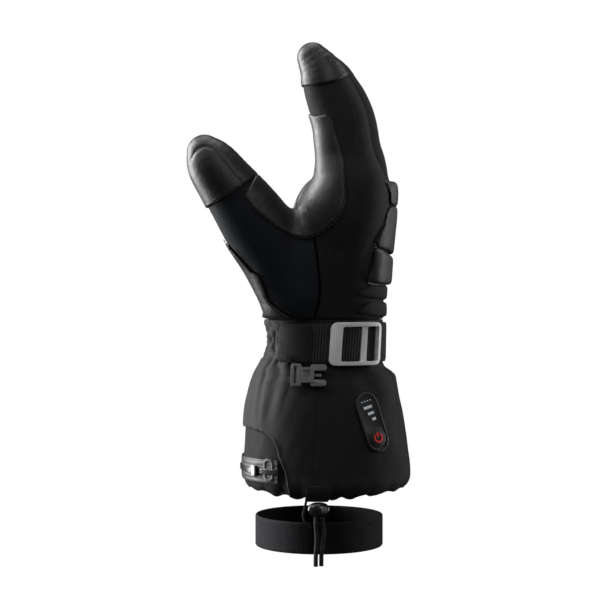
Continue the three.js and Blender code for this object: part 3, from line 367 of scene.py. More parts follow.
def whole_hand(x, y, z):
    """All of the hand: the finger roots flow into the palm, and a narrow gap parts the fingers above it."""
    skin = palm_hand(x, y, z)
    root = 0.5 + 9 * (1 - smoothstep(WEB_HEIGHT - 12, WEB_HEIGHT + 12, z))
    for name in ("middle", "ring", "little"):
        skin = soft_union(skin, limb_distance(LIMBS[name], x, y, z), root)
    gap = 0 * z - 9
    for lane in (-1, 0, 0.98):
        gap = np.maximum(gap, 0.9 - abs(y - FINGER_CENTRE - lane * FINGER_PITCH))
    return soft_cut(skin, np.minimum(gap, (z - WEB_HEIGHT - 2) / 3), 1.2)

# %% [markdown]
# ## From a field to a mesh
# The field has to become faces. Each small cell that the skin crosses gets one point, points of neighbouring
# cells are joined, and a few rounds of smoothing take out the steps of the grid.

# %% From a field to a mesh
def grid(low, high, cell):
    """The corner coordinates of a block of cells, shaped so that they spread over each other."""
    axes = [np.arange(a, b + cell, cell, dtype=np.float32) for a, b in zip(low, high)]
    return axes[0][:, None, None], axes[1][None, :, None], axes[2][None, None, :]

def skin_mesh(values, low, cell):
    """Points and four-sided faces of the surface where a block of values is zero."""
    shape = np.array(values.shape)
    total = np.zeros((*(shape - 1), 3), np.float32)
    count = np.zeros(shape - 1, np.float32)
    crossings = []
    for axis in range(3):
        one = np.take(values, range(shape[axis] - 1), axis)
        other = np.take(values, range(1, shape[axis]), axis)
        crossed = (one < 0) != (other < 0)
        share = np.where(crossed, one / np.where(crossed, one - other, 1), 0)
        crossings.append((crossed, one < 0))
        u, v = (n for n in range(3) if n != axis)
        for du in (0, 1):
            for dv in (0, 1):
                part = [slice(None)] * 3
                part[u], part[v] = slice(du, shape[u] - 1 + du), slice(dv, shape[v] - 1 + dv)
                hit = crossed[tuple(part)]
                count += hit
                total[..., axis] += share[tuple(part)]
                total[..., u] += du * hit
                total[..., v] += dv * hit
    cells = np.argwhere(count > 0)
    ids = np.full(shape - 1, -1, np.int32)
    ids[tuple(cells.T)] = np.arange(len(cells))
    mean = total[tuple(cells.T)] / count[tuple(cells.T)][:, None]
    points = np.asarray(low, float) + (cells + mean) * cell
    faces = []
    for axis, (crossed, starts_inside) in enumerate(crossings):
        u, v = (axis + 1) % 3, (axis + 2) % 3
        inner = [slice(None)] * 3
        inner[u], inner[v] = slice(1, -1), slice(1, -1)
        at = np.argwhere(crossed[tuple(inner)])
        at[:, u] += 1
        at[:, v] += 1
        quad = []
        for back_u, back_v in ((0, 0), (1, 0), (1, 1), (0, 1)):
            cell_at = at.copy()
            cell_at[:, u] -= back_u
            cell_at[:, v] -= back_v
            quad.append(ids[tuple(cell_at.T)])
        quad = np.stack(quad, 1)
        turned = ~starts_inside[tuple(at.T)]
        quad[turned] = quad[turned][:, ::-1]
        faces.append(quad)
    return points, np.concatenate(faces)

def make_piece(name, points, faces):
    """An object at the origin from points in millimetres."""
    mesh = bpy.data.meshes.new(name)
    mesh.from_pydata((np.asarray(points) / 1000).tolist(), [], [list(map(int, face)) for face in faces])
    mesh.validate()
    piece = bpy.data.objects.new(name, mesh)
    scene.collection.objects.link(piece)
    return piece

# %% [markdown]
# ## Lines and outlines
# Seams and the edges of patches are drawn as they are seen from the side. A field that is cut straight
# through by such a line gets its seam where the line runs.

# %% Lines and outlines seen from the side
def line_distance(line, x, z, closed=False):
    """Distance from a line seen from the side, negative inside it where it is closed."""
    nearest, inside = np.full(np.broadcast(x, z).shape, 1e6), np.zeros(np.broadcast(x, z).shape, bool)
    stops = np.vstack([line, line[:1]]) if closed else line
    for (ax, az), (bx, bz) in zip(stops[:-1].tolist(), stops[1:].tolist()):
        ex, ez = bx - ax, bz - az
        t = np.clip(((x - ax) * ex + (z - az) * ez) / max(ex * ex + ez * ez, 1e-9), 0, 1)
        nearest = np.minimum(nearest, np.hypot(x - ax - t * ex, z - az - t * ez))
        if closed and ez:
            inside ^= ((az > z) != (bz > z)) & (x < ax + (z - az) * ex / ez)
    return np.where(inside, -nearest, nearest)

def on_skin(xz, lift=0.0, skin=None, pixels=False, fallback=-45.0):
    """Where sight lines from the thumb side first meet the hand, and the skin's slope there.
    The places are millimetres in x and z, or pixels of the picture."""
    skin = skin or whole_hand
    xz = np.asarray(xz, float)
    y = np.arange(-88, 40, 0.8)[:, None]
    if pixels:
        scale = MM_PER_PIXEL * (y - CAMERA[1]) / 1000
        x = CAMERA[0] + (xz[:, 0] - PICTURE / 2) * scale
        z = CAMERA[2] - (xz[:, 1] - PICTURE / 2) * scale
    else:
        x, z = xz[:, 0] + 0 * y, xz[:, 1] + 0 * y
    depth = skin(x, y + 0 * x, z) - lift
    hit = depth < 0
    first = np.where(hit.any(0), hit.argmax(0), int((fallback + 88) / 0.8))
    first = np.maximum(first, 1)
    pick = np.arange(len(xz))
    one, other = depth[first - 1, pick], depth[first, pick]
    t = np.where(hit.any(0), one / np.where(one == other, 1, one - other), 0)[:, None]
    ends = [np.stack([x[k, pick], (y + 0 * x)[k, pick], z[k, pick]], 1) for k in (first - 1, first)]
    points = ends[0] + t * (ends[1] - ends[0])
    px, py, pz = points.T
    slope = np.stack([skin(px + 0.5, py, pz) - skin(px - 0.5, py, pz),
                      skin(px, py + 0.5, pz) - skin(px, py - 0.5, pz),
                      skin(px, py, pz + 0.5) - skin(px, py, pz - 0.5)], 1)
    return points, slope / np.linalg.norm(slope, axis=1, keepdims=True)

def seen_outline(pixels, closed=True, step=2.0):
    """A line drawn on the picture, as x and z on the hand behind it."""
    points, _ = on_skin(smooth_line(pixels, closed, step), pixels=True, skin=palm_hand)
    return points[:, [0, 2]]

# %% [markdown]
# ## Pieces cut from the field
# A panel is the skin inside an outline, and a patch is a second skin a little further out. Both come from
# the same field, so they lie on each other all over, as sheets laid by hand wouldn't.

# %% Pieces cut from the field
def closed_block(values):
    """A block whose outer layer is outside, so that what it holds is closed."""
    for axis in range(3):
        for end in (0, -1):
            edge = [slice(None)] * 3
            edge[axis] = end
            values[tuple(edge)] = np.maximum(values[tuple(edge)], 0.5)
    return values

def finish_skin(name, values, low, cell, rounds=2):
    """Meshes a block of values, and smooths the steps of its cells."""
    points, faces = skin_mesh(closed_block(values), low, cell)
    piece = make_piece(name, points, faces)
    bpy.ops.object.select_all(action="DESELECT")
    piece.select_set(True)
    bpy.context.view_layer.objects.active = piece
    smooth = piece.modifiers.new("smooth", "SMOOTH")
    smooth.factor, smooth.iterations = 0.5, rounds
    bpy.ops.object.modifier_apply(modifier="smooth")
    bpy.ops.object.shade_smooth()
    print(name, len(piece.data.polygons), "faces")
    return piece

rng = np.random.default_rng(7)
RIPPLES = [(direction / np.linalg.norm(direction), 2 * math.pi / wave, turn, wave / 20)
           for direction, wave, turn in
           zip(rng.normal(size=(7, 3)), rng.uniform(9, 30, 7), rng.uniform(0, 6.28, 7))]

def ripple(x, y, z, depth):
    """The slight unevenness of cloth over padding."""
    total = 0
    for direction, rate, turn, share in RIPPLES:
        total = total + share * np.sin(
            rate * (direction[0] * x + direction[1] * y + direction[2] * z) + turn)
    return depth * total / 4

def cloth_panel(name, low, high, cell, plan, wall, skin=whole_hand, edge=1.4, folds=0.25):
    x, y, z = grid(low, high, cell)
    base = skin(x, y, z) + ripple(x, y, z, folds)
    return finish_skin(name, np.maximum(soft_cut(base, plan(x, y, z), edge), -base - wall), low, cell)

# How far a layer's hidden side lies in the padding, so that the cells see a layer thicker than they are.
SEWN_IN = 1.4

def leather_layer(name, low, high, cell, plan, thickness, skin=palm_hand, edge=1.2, lift=0.3,
                  pressing=None):
    """A layer laid on the skin inside a plan, with its edge turned down."""
    x, y, z = grid(low, high, cell)
    base = skin(x, y, z)
    if pressing:
        base = base + pressing(x, y, z)
    cover = plan(x, y, z)
    tall = thickness(cover, x, z) if callable(thickness) else thickness
    return finish_skin(
        name, np.maximum(soft_cut(base - lift - tall, cover, edge), -base - SEWN_IN), low, cell, 2)

# %% [markdown]
# ## Where panels and patches end
# The outlines are read as pixels of the picture, with only the points that their shapes need.

# %% Where the panels and patches end
PANEL_SEAM = seen_outline([
    (300, 150), (303, 205), (313.6, 238), (318, 265), (319.7, 293), (314.8, 316), (311, 322)],
    closed=False)
PATCH = seen_outline([
    (260, 172.7), (255, 176.5), (249, 188), (245, 195.5), (246.5, 200.5), (255, 210.7), (268, 220.8),
    (280.7, 229.7), (293, 236), (306, 238.5), (318.7, 234.7), (331, 226), (340, 216), (344.6, 203),
    (345.2, 190), (344.6, 180), (343, 160), (339.5, 147), (335.7, 135), (332, 121), (327, 114.5),
    (315, 116), (296, 112), (278, 150), (268, 168)])
PALM_EDGE = seen_outline([
    (300, 322), (290.6, 318), (270, 303), (263, 285), (257, 274), (252, 272), (243, 262), (232, 250),
    (215, 228), (196, 206)], closed=False)
THUMB_CAP_FOOT = seen_outline([(198, 214), (209.5, 207), (222, 199), (247, 183), (262, 172)], closed=False)
THUMB_CAP_SEAM = seen_outline([
    (191, 160), (196.8, 150.8), (203.3, 147), (210.8, 148), (217.3, 152.2), (226.7, 162), (236, 173.2),
    (243.5, 181.6), (249.6, 186.8)], closed=False)
print("patch", PATCH.min(0).round(1), PATCH.max(0).round(1))

# %% [markdown]
# ## Finishes
# Each finish is a small tree of nodes. `Value` wraps a shader socket so that a mask can be written as a sum,
# and `Finish.node` adds every other node. Patterns read Object coordinates, which stay on the cloth as it
# lies, or a UV map where ribs have to follow a strap.

# %% Shader maths
class Value:
    """A shader socket that does sums."""
    def __init__(self, finish, socket):
        self.finish, self.socket = finish, socket

    def maths(self, operation, one, other=0.0):
        return self.finish.node("ShaderNodeMath", {"operation": operation}, {0: one, 1: other})

    def __add__(self, other):
        return self.maths("ADD", self, other)

    def __sub__(self, other):
        return self.maths("SUBTRACT", self, other)

    def __rsub__(self, other):
        return self.maths("SUBTRACT", other, self)

    def __mul__(self, other):
        return self.maths("MULTIPLY", self, other)

    def sine(self):
        return self.maths("SINE", self)

    def size(self):
        return self.maths("ABSOLUTE", self)

    __radd__, __rmul__ = __add__, __mul__


class Finish:
    """One material, its nodes and its main shader."""
    def __init__(self, name, **sockets):
        self.material = bpy.data.materials.new(name)
        self.material.use_nodes = True
        self.tree = self.material.node_tree
        self.shader = self.tree.nodes["Principled BSDF"]
        for socket, value in sockets.items():
            self.shader.inputs[socket.replace("_", " ")].default_value = value

    def node(self, kind, settings=None, sockets=None, output=0):
        node = self.tree.nodes.new(kind)
        for setting, value in (settings or {}).items():
            if setting == "stops":
                for stop, (at, colour) in zip(node.color_ramp.elements, value):
                    stop.position, stop.color = at, colour
            else:
                setattr(node, setting, value)
        for socket, value in (sockets or {}).items():
            if isinstance(value, Value):
                self.tree.links.new(value.socket, node.inputs[socket])
            else:
                node.inputs[socket].default_value = value
        return Value(self, node.outputs[output])

    def feed(self, socket, value):
        self.tree.links.new(value.socket, self.shader.inputs[socket])

    def place(self, name="Object"):
        return self.node("ShaderNodeTexCoord", output=name)

    def noise(self, scale, detail=2.0, place=None):
        return self.node("ShaderNodeTexNoise", None,
                         {"Vector": place or self.place(), "Scale": scale, "Detail": detail})

    def blend(self, mask, one, other):
        """A colour between two, by a mask."""
        return self.node(
            "ShaderNodeMix", {"data_type": "RGBA"}, {0: mask, 6: (*one, 1), 7: (*other, 1)}, output=2)

    def relief(self, height, depth, strength=1.0):
        """Bumps of a depth in metres."""
        self.feed("Normal", self.node("ShaderNodeBump", None, {
            "Height": height, "Distance": depth, "Strength": strength}))

def mask(value, low, high):
    """0 below one value, 1 above another."""
    return value.finish.node("ShaderNodeMapRange", {"interpolation_type": "SMOOTHSTEP"}, {
        "Value": value, "From Min": low, "From Max": high})

# %% [markdown]
# ### Cloths
# Softshell is a matt, closely woven face with a faint mottle. The stretch panel is smoother and a little
# blue. A weave this fine is a bump of a few hundredths of a millimetre, so it is made of crossed waves
# about a millimetre apart with noise over them.

# %% Cloth finishes
def woven(name, colour, lighter, roughness, thread=0.9, depth=0.00006, **sockets):
    finish = Finish(name, **sockets)
    parts = finish.node("ShaderNodeSeparateXYZ", None, {0: finish.place()})
    x, y, z = (Value(finish, parts.socket.node.outputs[k]) for k in range(3))
    rate = 2 * math.pi / (thread / 1000)
    across = ((x + y) * (rate * 0.8)).sine() * ((x - y) * (rate * 0.8)).sine()
    weave = across * 0.5 + (z * rate).sine() * 0.5
    grain = finish.noise(900, 3)
    mottle = finish.noise(55, 4)
    finish.feed("Base Color", finish.blend(mask(mottle * 0.6 + grain * 0.4, 0.35, 0.7), colour, lighter))
    finish.feed("Roughness", mottle * 0.12 + (roughness - 0.06))
    finish.shader.inputs["Specular IOR Level"].default_value = 0.22
    finish.relief(weave * 0.5 + grain * 0.9, depth)
    return finish.material

softshell = woven("softshell_weave", (0.0088, 0.0089, 0.0095), (0.0135, 0.0136, 0.0144), 0.76, depth=0.0001)
stretch_cloth = woven("stretch_weave", (0.006, 0.0075, 0.0105), (0.008, 0.0098, 0.0135), 0.72,
                      thread=0.6, depth=0.00003)
# The pocket's recess is coloured near-black: this is painted shade in the recess.
pocket_shade_cloth = woven("pocket_painted_shade_weave", (0.0022, 0.0022, 0.0024), (0.0035, 0.0035, 0.0038), 0.8,
                     thread=0.7, depth=0.00004)
lining = woven("fleece_lining", (0.012, 0.012, 0.013), (0.02, 0.02, 0.021), 0.95, thread=1.6, depth=0.0002)

# %% [markdown]
# ### Leathers
# Goat leather has a pebbled grain: small rounded cells with creases between them. It is shinier on top of
# the pebbles than in the creases, which is what makes its highlights break up. The knuckle guard is a
# browner, finer leather.

# %% Leather finishes
def grained(name, colour, worn, roughness, grain=1.1, depth=0.00022):
    finish = Finish(name)
    warp = finish.noise(180, 2)
    cells = finish.node("ShaderNodeTexVoronoi", {"feature": "F1"}, {
        "Vector": finish.node("ShaderNodeVectorMath", {"operation": "ADD"}, {
            0: finish.place(), 1: finish.node("ShaderNodeVectorMath", {"operation": "SCALE"}, {
                0: finish.node(
                    "ShaderNodeTexNoise", None, {"Vector": finish.place(), "Scale": 260.0}, output=1),
                "Scale": 0.0009})}),
        "Scale": 1000 / grain})
    pebble = 1 - mask(cells, 0.15, 0.75)
    creases = mask(finish.noise(120, 3), 0.4, 0.6)
    finish.feed("Base Color", finish.blend(mask(warp, 0.45, 0.75), colour, worn))
    finish.feed("Roughness", (1 - pebble) * 0.22 + creases * 0.06 + (roughness - 0.05))
    finish.relief(pebble + creases * 0.2, depth)
    return finish.material

leather = grained(
    "goat_leather", (0.0045, 0.0043, 0.0043), (0.007, 0.0068, 0.0068), 0.33, grain=0.8, depth=0.00006)
guard_leather = grained(
    "guard_leather", (0.0105, 0.0078, 0.0064), (0.016, 0.0122, 0.0102), 0.42, grain=0.7, depth=0.00003)

# %% [markdown]
# ### Webbing, plastic, rubber, cord and thread
# The webbing's ribs follow the strap through its UV map, which counts millimetres along and across it. The
# moulded plastic has the faint orange peel of a textured mould.

# %% Other finishes
def ribbed(name, colour, lighter, along, across, depth, roughness=0.75, slant=0.0):
    finish = Finish(name)
    parts = finish.node("ShaderNodeSeparateXYZ", None, {0: finish.place("UV")})
    u, v = (Value(finish, parts.socket.node.outputs[k]) for k in range(2))
    ribs = ((u + v * slant) * (math.pi / along)).sine().size()
    ends = (v * (math.pi / across)).sine().size()
    height = ribs * (0.35 + ends * 0.65)
    fuzz = finish.noise(1400, 2)
    # The rib tops are painted lighter than the grooves: a painted highlight on the ribs and painted shade
    # between them.
    finish.feed("Base Color", finish.blend(mask(height + fuzz * 0.3, 0.25, 1.05), colour, lighter))
    finish.feed("Roughness", fuzz * 0.15 + (roughness - 0.07))
    finish.shader.inputs["Specular IOR Level"].default_value = 0.25
    finish.relief(height + fuzz * 0.25, depth)
    return finish.material

def moulded(name, colour, worn, roughness, peel=0.00003, **sockets):
    finish = Finish(name, **sockets)
    skin = finish.noise(1600, 2)
    smudge = finish.noise(70, 3)
    finish.feed("Base Color", finish.blend(mask(smudge, 0.4, 0.7), colour, worn))
    finish.feed("Roughness", smudge * 0.14 + (roughness - 0.07))
    finish.relief(skin, peel)
    return finish.material

# In each ribbed finish the second colour is the painted highlight on the rib tops, and the first is the
# grooves' colour with painted shade.
webbing = ribbed("ribbed_webbing", (0.002, 0.002, 0.0024), (0.045, 0.045, 0.048), 1.8, 1.25, 0.0006)
elastic = ribbed("leash_elastic", (0.0012, 0.0015, 0.003), (0.003, 0.0034, 0.006), 0.9, 1.1, 0.00012, 0.85)
cord_yarn = ribbed(
    "cord_braid", (0.006, 0.006, 0.0065), (0.024, 0.024, 0.026), 1.3, 1.2, 0.0002, 0.8, slant=0.8)
# On the reflective tape the light stripes are partly the tape's own silver and partly a painted highlight.
reflective_tape = ribbed(
    "reflective_tape", (0.012, 0.0122, 0.013), (0.09, 0.0915, 0.096), 60.0, 2.8, 0.0004, 0.5)
# The buckle's light grey is partly the plastic's own grey and partly a painted highlight, raised to stand
# for its shine.
grey_and_painted_highlight_plastic = moulded("satin_grey_and_painted_highlight", (0.66, 0.665, 0.675), (0.72, 0.725, 0.735), 0.3)
plug_plastic = moulded("grey_plug_plastic", (0.1, 0.102, 0.107), (0.13, 0.132, 0.137), 0.3)
dark_plastic = moulded("dark_plastic", (0.012, 0.012, 0.013), (0.018, 0.018, 0.019), 0.25)
rubber = moulded("pad_rubber", (0.012, 0.012, 0.013), (0.017, 0.017, 0.019), 0.5)
cord_yarn_flat = moulded("pull_cord", (0.02, 0.02, 0.021), (0.035, 0.035, 0.037), 0.5)
red_rubber = moulded("red_rubber", (0.75, 0.03, 0.02), (0.85, 0.045, 0.03), 0.42)
printed_white = moulded("printed_white", (0.75, 0.82, 0.88), (0.8, 0.87, 0.92), 0.5)
thread = moulded("stitch_thread", (0.018, 0.018, 0.019), (0.03, 0.03, 0.032), 0.55)
dark_thread = moulded("dark_thread", (0.003, 0.003, 0.003), (0.006, 0.006, 0.006), 0.7)
print("finishes:", len(bpy.data.materials))

def dress(piece, material, *nodes):
    """Gives a piece its finish, puts it on the glove and hides the CAD nodes that it stands for."""
    piece.data.materials.clear()
    piece.data.materials.append(material)
    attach(piece, "root")
    if nodes:
        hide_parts(*nodes)
    return piece

# %% [markdown]
# ## Cloth panels of the hand
# The hand is sewn from two cloths that meet at a seam under the index finger: stretch cloth over the ball of
# the thumb, softshell over the back and the fingers. Cutting the field with a rounded edge turns each panel
# down at its border, so two neighbours meet in a real seam groove. Both stay hollow, as the glove is.

# %% Hand panels
CELL = 1.3
palm_side_outline = np.vstack([PANEL_SEAM, [[PANEL_SEAM[-1, 0], 5], [-130, 5], [-130, 150], [-18.5, 150]]])

def palm_plan(x, y, z):
    return np.maximum(line_distance(palm_side_outline, x, z, closed=True), WRIST_TOP + 0.3 - z) + 0 * y

def back_plan(x, y, z):
    return np.maximum(0.3 - line_distance(palm_side_outline, x, z, closed=True), WRIST_TOP + 0.3 - z) + 0 * y

palm_cloth = cloth_panel("palm_cloth", (-86, -66, 15), (0, 56, 150), CELL, palm_plan, 3.2, folds=0.15)
dress(palm_cloth, stretch_cloth, "thumb")
back_cloth = cloth_panel("back_cloth", (-30, -66, 15), (50, 56, 200), CELL, back_plan, 3.0)
dress(back_cloth, softshell, "hand_shell", "index_finger", "middle_finger", "ring_finger", "little_finger")

# %% [markdown]
# ## Leather
# The tips of the thumb and the index finger, the crotch between them, the palm and the fingers' fronts are
# leather, laid on the cloth. Each patch is a thin layer of the same field inside an outline that was drawn
# on the picture, with its edge turned down; the thumb cap also has its seam pressed in.

# %% Tip caps
FINE = 0.85

def beyond(line, *corners):
    outline = np.vstack([line, corners])
    return lambda x, y, z: line_distance(outline, x, z, closed=True) + 0 * y

def pressed(line, depth, width, side=-20.0):
    """A seam pressed into the leather along a line, on the thumb side."""
    def dent(x, y, z):
        near = np.exp(-(line_distance(line, x, z) / width) ** 2)
        return depth * near * smoothstep(side + 8, side, y)
    return dent

thumb_cap = leather_layer(
    "thumb_cap", (-93, -74, 76), (-36, -20, 137), FINE,
    beyond(THUMB_CAP_FOOT, (-38, 140), (-110, 140), (-110, 70)), 1.2,
    pressing=pressed(THUMB_CAP_SEAM, 0.6, 0.7, -46))
dress(thumb_cap, leather, "thumb_tip_cap")

INDEX_CAP_FOOT = seen_outline(
    [(296, 87), (306, 86), (320, 85), (333, 82), (343, 78), (354, 72)], closed=False)
index_cap = leather_layer(
    "index_cap", (-30, -64, 150), (20, -29.5, 198), FINE,
    beyond(INDEX_CAP_FOOT, (30, 185), (30, 215), (-60, 215), (-60, 160)), 0.9, skin=whole_hand, lift=0.4)
dress(index_cap, leather, "index_tip_cap")

# %% [markdown]
# ## Crotch patch and palm
# Leather wears well where the hand grips, so it covers the palm and the fold between thumb and index finger.
# Each is one more layer on the skin, cut by its own plan.

# %% Crotch patch and palm
PATCH_SIDE = FINGER_CENTRE - 0.98 * FINGER_PITCH

def patch_plan(x, y, z):
    return np.maximum(line_distance(PATCH, x, z, closed=True), y - PATCH_SIDE)

crotch_patch = leather_layer(
    "crotch_leather", (-58, -70, 62), (14, -20, 156), FINE, patch_plan, 1.1, skin=whole_hand, lift=0.4)
dress(crotch_patch, leather, "crotch_patch")

palm_outline = np.vstack([PALM_EDGE, [[-120, 90], [-120, 0], [-18.5, 0]]])
palm_face = smooth_line(
    [(-8, 16), (-8, 40), (-9, 70), (-10, 96), (-40, 99), (-90, 90), (-90, 16)], closed=True)

def palm_leather_plan(x, y, z):
    edge = line_distance(palm_outline, x, z, closed=True)
    face = np.maximum(line_distance(palm_face, x, z, closed=True), -19 - y)
    cap = beyond(THUMB_CAP_FOOT, (-38, 140), (-110, 140), (-110, 70))(x, y, z)
    return np.maximum(np.maximum(np.minimum(edge, face), 0.4 - cap), WRIST_TOP + 1 - z)

palm_leather = leather_layer("palm_leather_cover", (-80, -66, 15), (0, 52, 104), 1.05 if FINE < 1 else 1.4,
                             palm_leather_plan, 1.1, skin=whole_hand, lift=0.4)
dress(palm_leather, leather, "palm_leather")

# %% [markdown]
# ## Finger fronts
# The other three fingers have leather on the gripping side. Its edge follows the middle finger's side line,
# so that it bends with the fingers.

# %% Finger fronts
def fronts_plan(x, y, z):
    """In front of the middle finger's side line, beyond the index finger."""
    station, px, py, pz = finger_path("middle")[:4]
    edge = smooth_line(np.stack([px - 7 + 3 * station, pz], 1), step=3.0)
    outline = np.vstack([[[edge[0, 0], 92]], edge, [[edge[-1, 0] + 30, 230], [-120, 230], [-120, 92]]])
    side = line_distance(outline, x, z, closed=True)
    return np.maximum(side, PATCH_SIDE + 1 - y)

finger_fronts = leather_layer(
    "finger_fronts", (-50, -30, 90), (30, 56, 200), 1.8 if FINE > 1 else 1.05, fronts_plan, 1.0,
    skin=whole_hand)
dress(finger_fronts, leather)

# %% [markdown]
# ## Knuckle guard and flex ridges
# The guard is three leather pads filled with foam, each crowned like a cushion, inside a flat leather rim.
# The crown follows the distance from the pad's border. Below it, two soft ridges let the back of the hand
# bend.

# %% Pads on the back
GUARD_FOOT, GUARD_SHARE = 0.262, 49 / PALM_LENGTH

def on_back(points):
    return np.array([(x * KNUCKLE_DEPTH, WRIST_TOP + (GUARD_FOOT + share * GUARD_SHARE) * PALM_LENGTH)
                     for x, share in points])

RIM_LINE = smooth_line(on_back([
    (0.37, -0.05), (0.375, 0.1), (0.425, 0.4), (0.51, 0.72), (0.6, 0.985), (0.57, 1.33)]))

def crowned(top, rise):
    """A thickness that rises from the guard's near edge, and is drawn in at a pad's own border."""
    def thickness(plan, x, z):
        from_rim = line_distance(RIM_LINE, x, z)
        drawn_in = 0.6 + 0.4 * np.sqrt(1 - (1 - np.clip(-plan / rise, 0, 1)) ** 2)
        return top * drawn_in * (0.3 + 0.7 * smoothstep(0, 11, from_rim))
    return thickness

def flat_plan(outline):
    return lambda x, y, z: line_distance(outline, x, z, closed=True) + 0 * y

GUARDS = {
    "knuckle_guard_lower": smooth_line(on_back([
        (0.4, 0.0), (0.435, 0.2), (0.465, 0.44), (0.62, 0.375), (0.95, 0.225), (1.25, 0.09), (1.25, -0.1),
        (0.8, -0.04)]), closed=True),
    "knuckle_guard_upper": smooth_line(on_back([
        (0.475, 0.465), (0.55, 0.72), (0.65, 1.0), (0.95, 0.99), (1.25, 0.99), (1.25, 0.11), (0.9, 0.265),
        (0.62, 0.4)]), closed=True),
    "knuckle_guard_top": smooth_line(on_back([
        (0.655, 1.01), (0.625, 1.17), (0.6, 1.32), (0.9, 1.34), (1.25, 1.32), (1.25, 1.0),
        (0.9, 1.0)]), closed=True)}
for name, outline in GUARDS.items():
    pad = leather_layer(
        "padded_" + name, (20, -60, 38), (60, 54, 114), 1.05, flat_plan(outline),
        crowned(4.3, 3), skin=whole_hand, edge=1.2)
    dress(pad, guard_leather, name)

RIDGES = {"flex_ridge_lower": (0.07, 0.48), "flex_ridge_upper": (0.53, 0.93)}
for name, (foot, top) in RIDGES.items():
    foot, top = (WRIST_TOP + share * GUARD_FOOT * PALM_LENGTH for share in (foot, top))
    outline = smooth_line([
        (17, foot + 3.2), (24, top - 0.6), (34, top), (60, top), (60, foot), (34, foot),
        (24, foot + 1.2)], closed=True)
    ridge = leather_layer("soft_" + name, (16, -60, 14), (56, 54, 44), 1.05,
                          flat_plan(outline), crowned(1.9, 3), skin=whole_hand, edge=2.4)
    dress(ridge, softshell, name)

rim_outline = smooth_line(on_back([
    (0.4, -0.045), (0.395, 0.05), (0.425, 0.25), (0.455, 0.47), (0.535, 0.72), (0.635, 0.985), (0.62, 1.15),
    (0.58, 1.33), (0.9, 1.36), (1.25, 1.35), (1.25, -0.12), (0.8, -0.06)]), closed=True)
guard_rim = leather_layer("guard_rim", (20, -60, 36), (60, 54, 116), 0.95,
                          flat_plan(rim_outline), 0.7, skin=whole_hand, edge=0.8, lift=0.05)
dress(guard_rim, leather)

# %% [markdown]
# ## Gauntlet cuff
# The cuff is a net of rows round the body, dented inwards where the real cloth is drawn in: small pleats
# over the elastic at the wrist, soft folds below them, a pocket that lies deeper on the palm side, and a
# hem that the draw cord ruffles. Rows and columns about a millimetre apart carry pleats and seams without
# sculpting.

# %% Folds of the cuff
def wave(turns):
    return (1 - np.cos(turns)) / 2

def pleat(turns):
    """Rounded tops with sharp valleys, 0 on top and 1 in the valley."""
    return 1 - np.abs(np.sin(turns / 2)) ** 0.7

def from_angle(angle, middle):
    return np.arctan2(np.sin(angle - middle), np.cos(angle - middle))

def bump(value, middle, spread):
    return np.exp(-((value - middle) / spread) ** 2)

# angle, height share, lean, spread, length, depth
CUFF_FOLDS = [
    (-2.75, 0.38, 0.25, 0.13, 0.3, 1.0), (-2.3, 0.34, -0.2, 0.11, 0.26, 0.8),
    (-0.95, 0.3, 0.3, 0.14, 0.22, 0.5), (0.6, 0.42, -0.25, 0.15, 0.3, 0.9),
    (1.5, 0.5, 0.2, 0.14, 0.3, 0.8), (2.6, 0.36, -0.2, 0.14, 0.3, 0.9),
    (-2.52, 0.3, 0.12, 0.05, 0.2, 0.5), (-0.42, 0.35, -0.35, 0.05, 0.18, 0.45),
    (-0.25, 0.6, -0.2, 0.06, 0.2, 0.4)]
# The pocket's edge: height, and angle from the middle of the palm.
POCKET = np.array([(-96, 1.12), (-91, 1.1), (-79, 1.05), (-70, 0.98), (-62, 0.93), (-57, 0.84),
                   (-54.5, 0.72),
                   (-53.2, 0.5), (-52.4, 0.1)])
SEAM_LINE = np.array([(-95, -10.4), (-86.6, -10.3), (-60, -9.0), (-36.8, -7.8), (-27, -9.4), (-12, -11)])

def in_pocket(angle, height):
    """Millimetres inside the pocket's edge, negative outside it."""
    edge = column(POCKET[:, 0], POCKET[:, 1], height)
    beside = 52 * (edge - abs(from_angle(angle, math.pi)))
    return np.where(height > -52.4, -3.0, np.minimum(beside, (-52.4 - height) * 1.2))

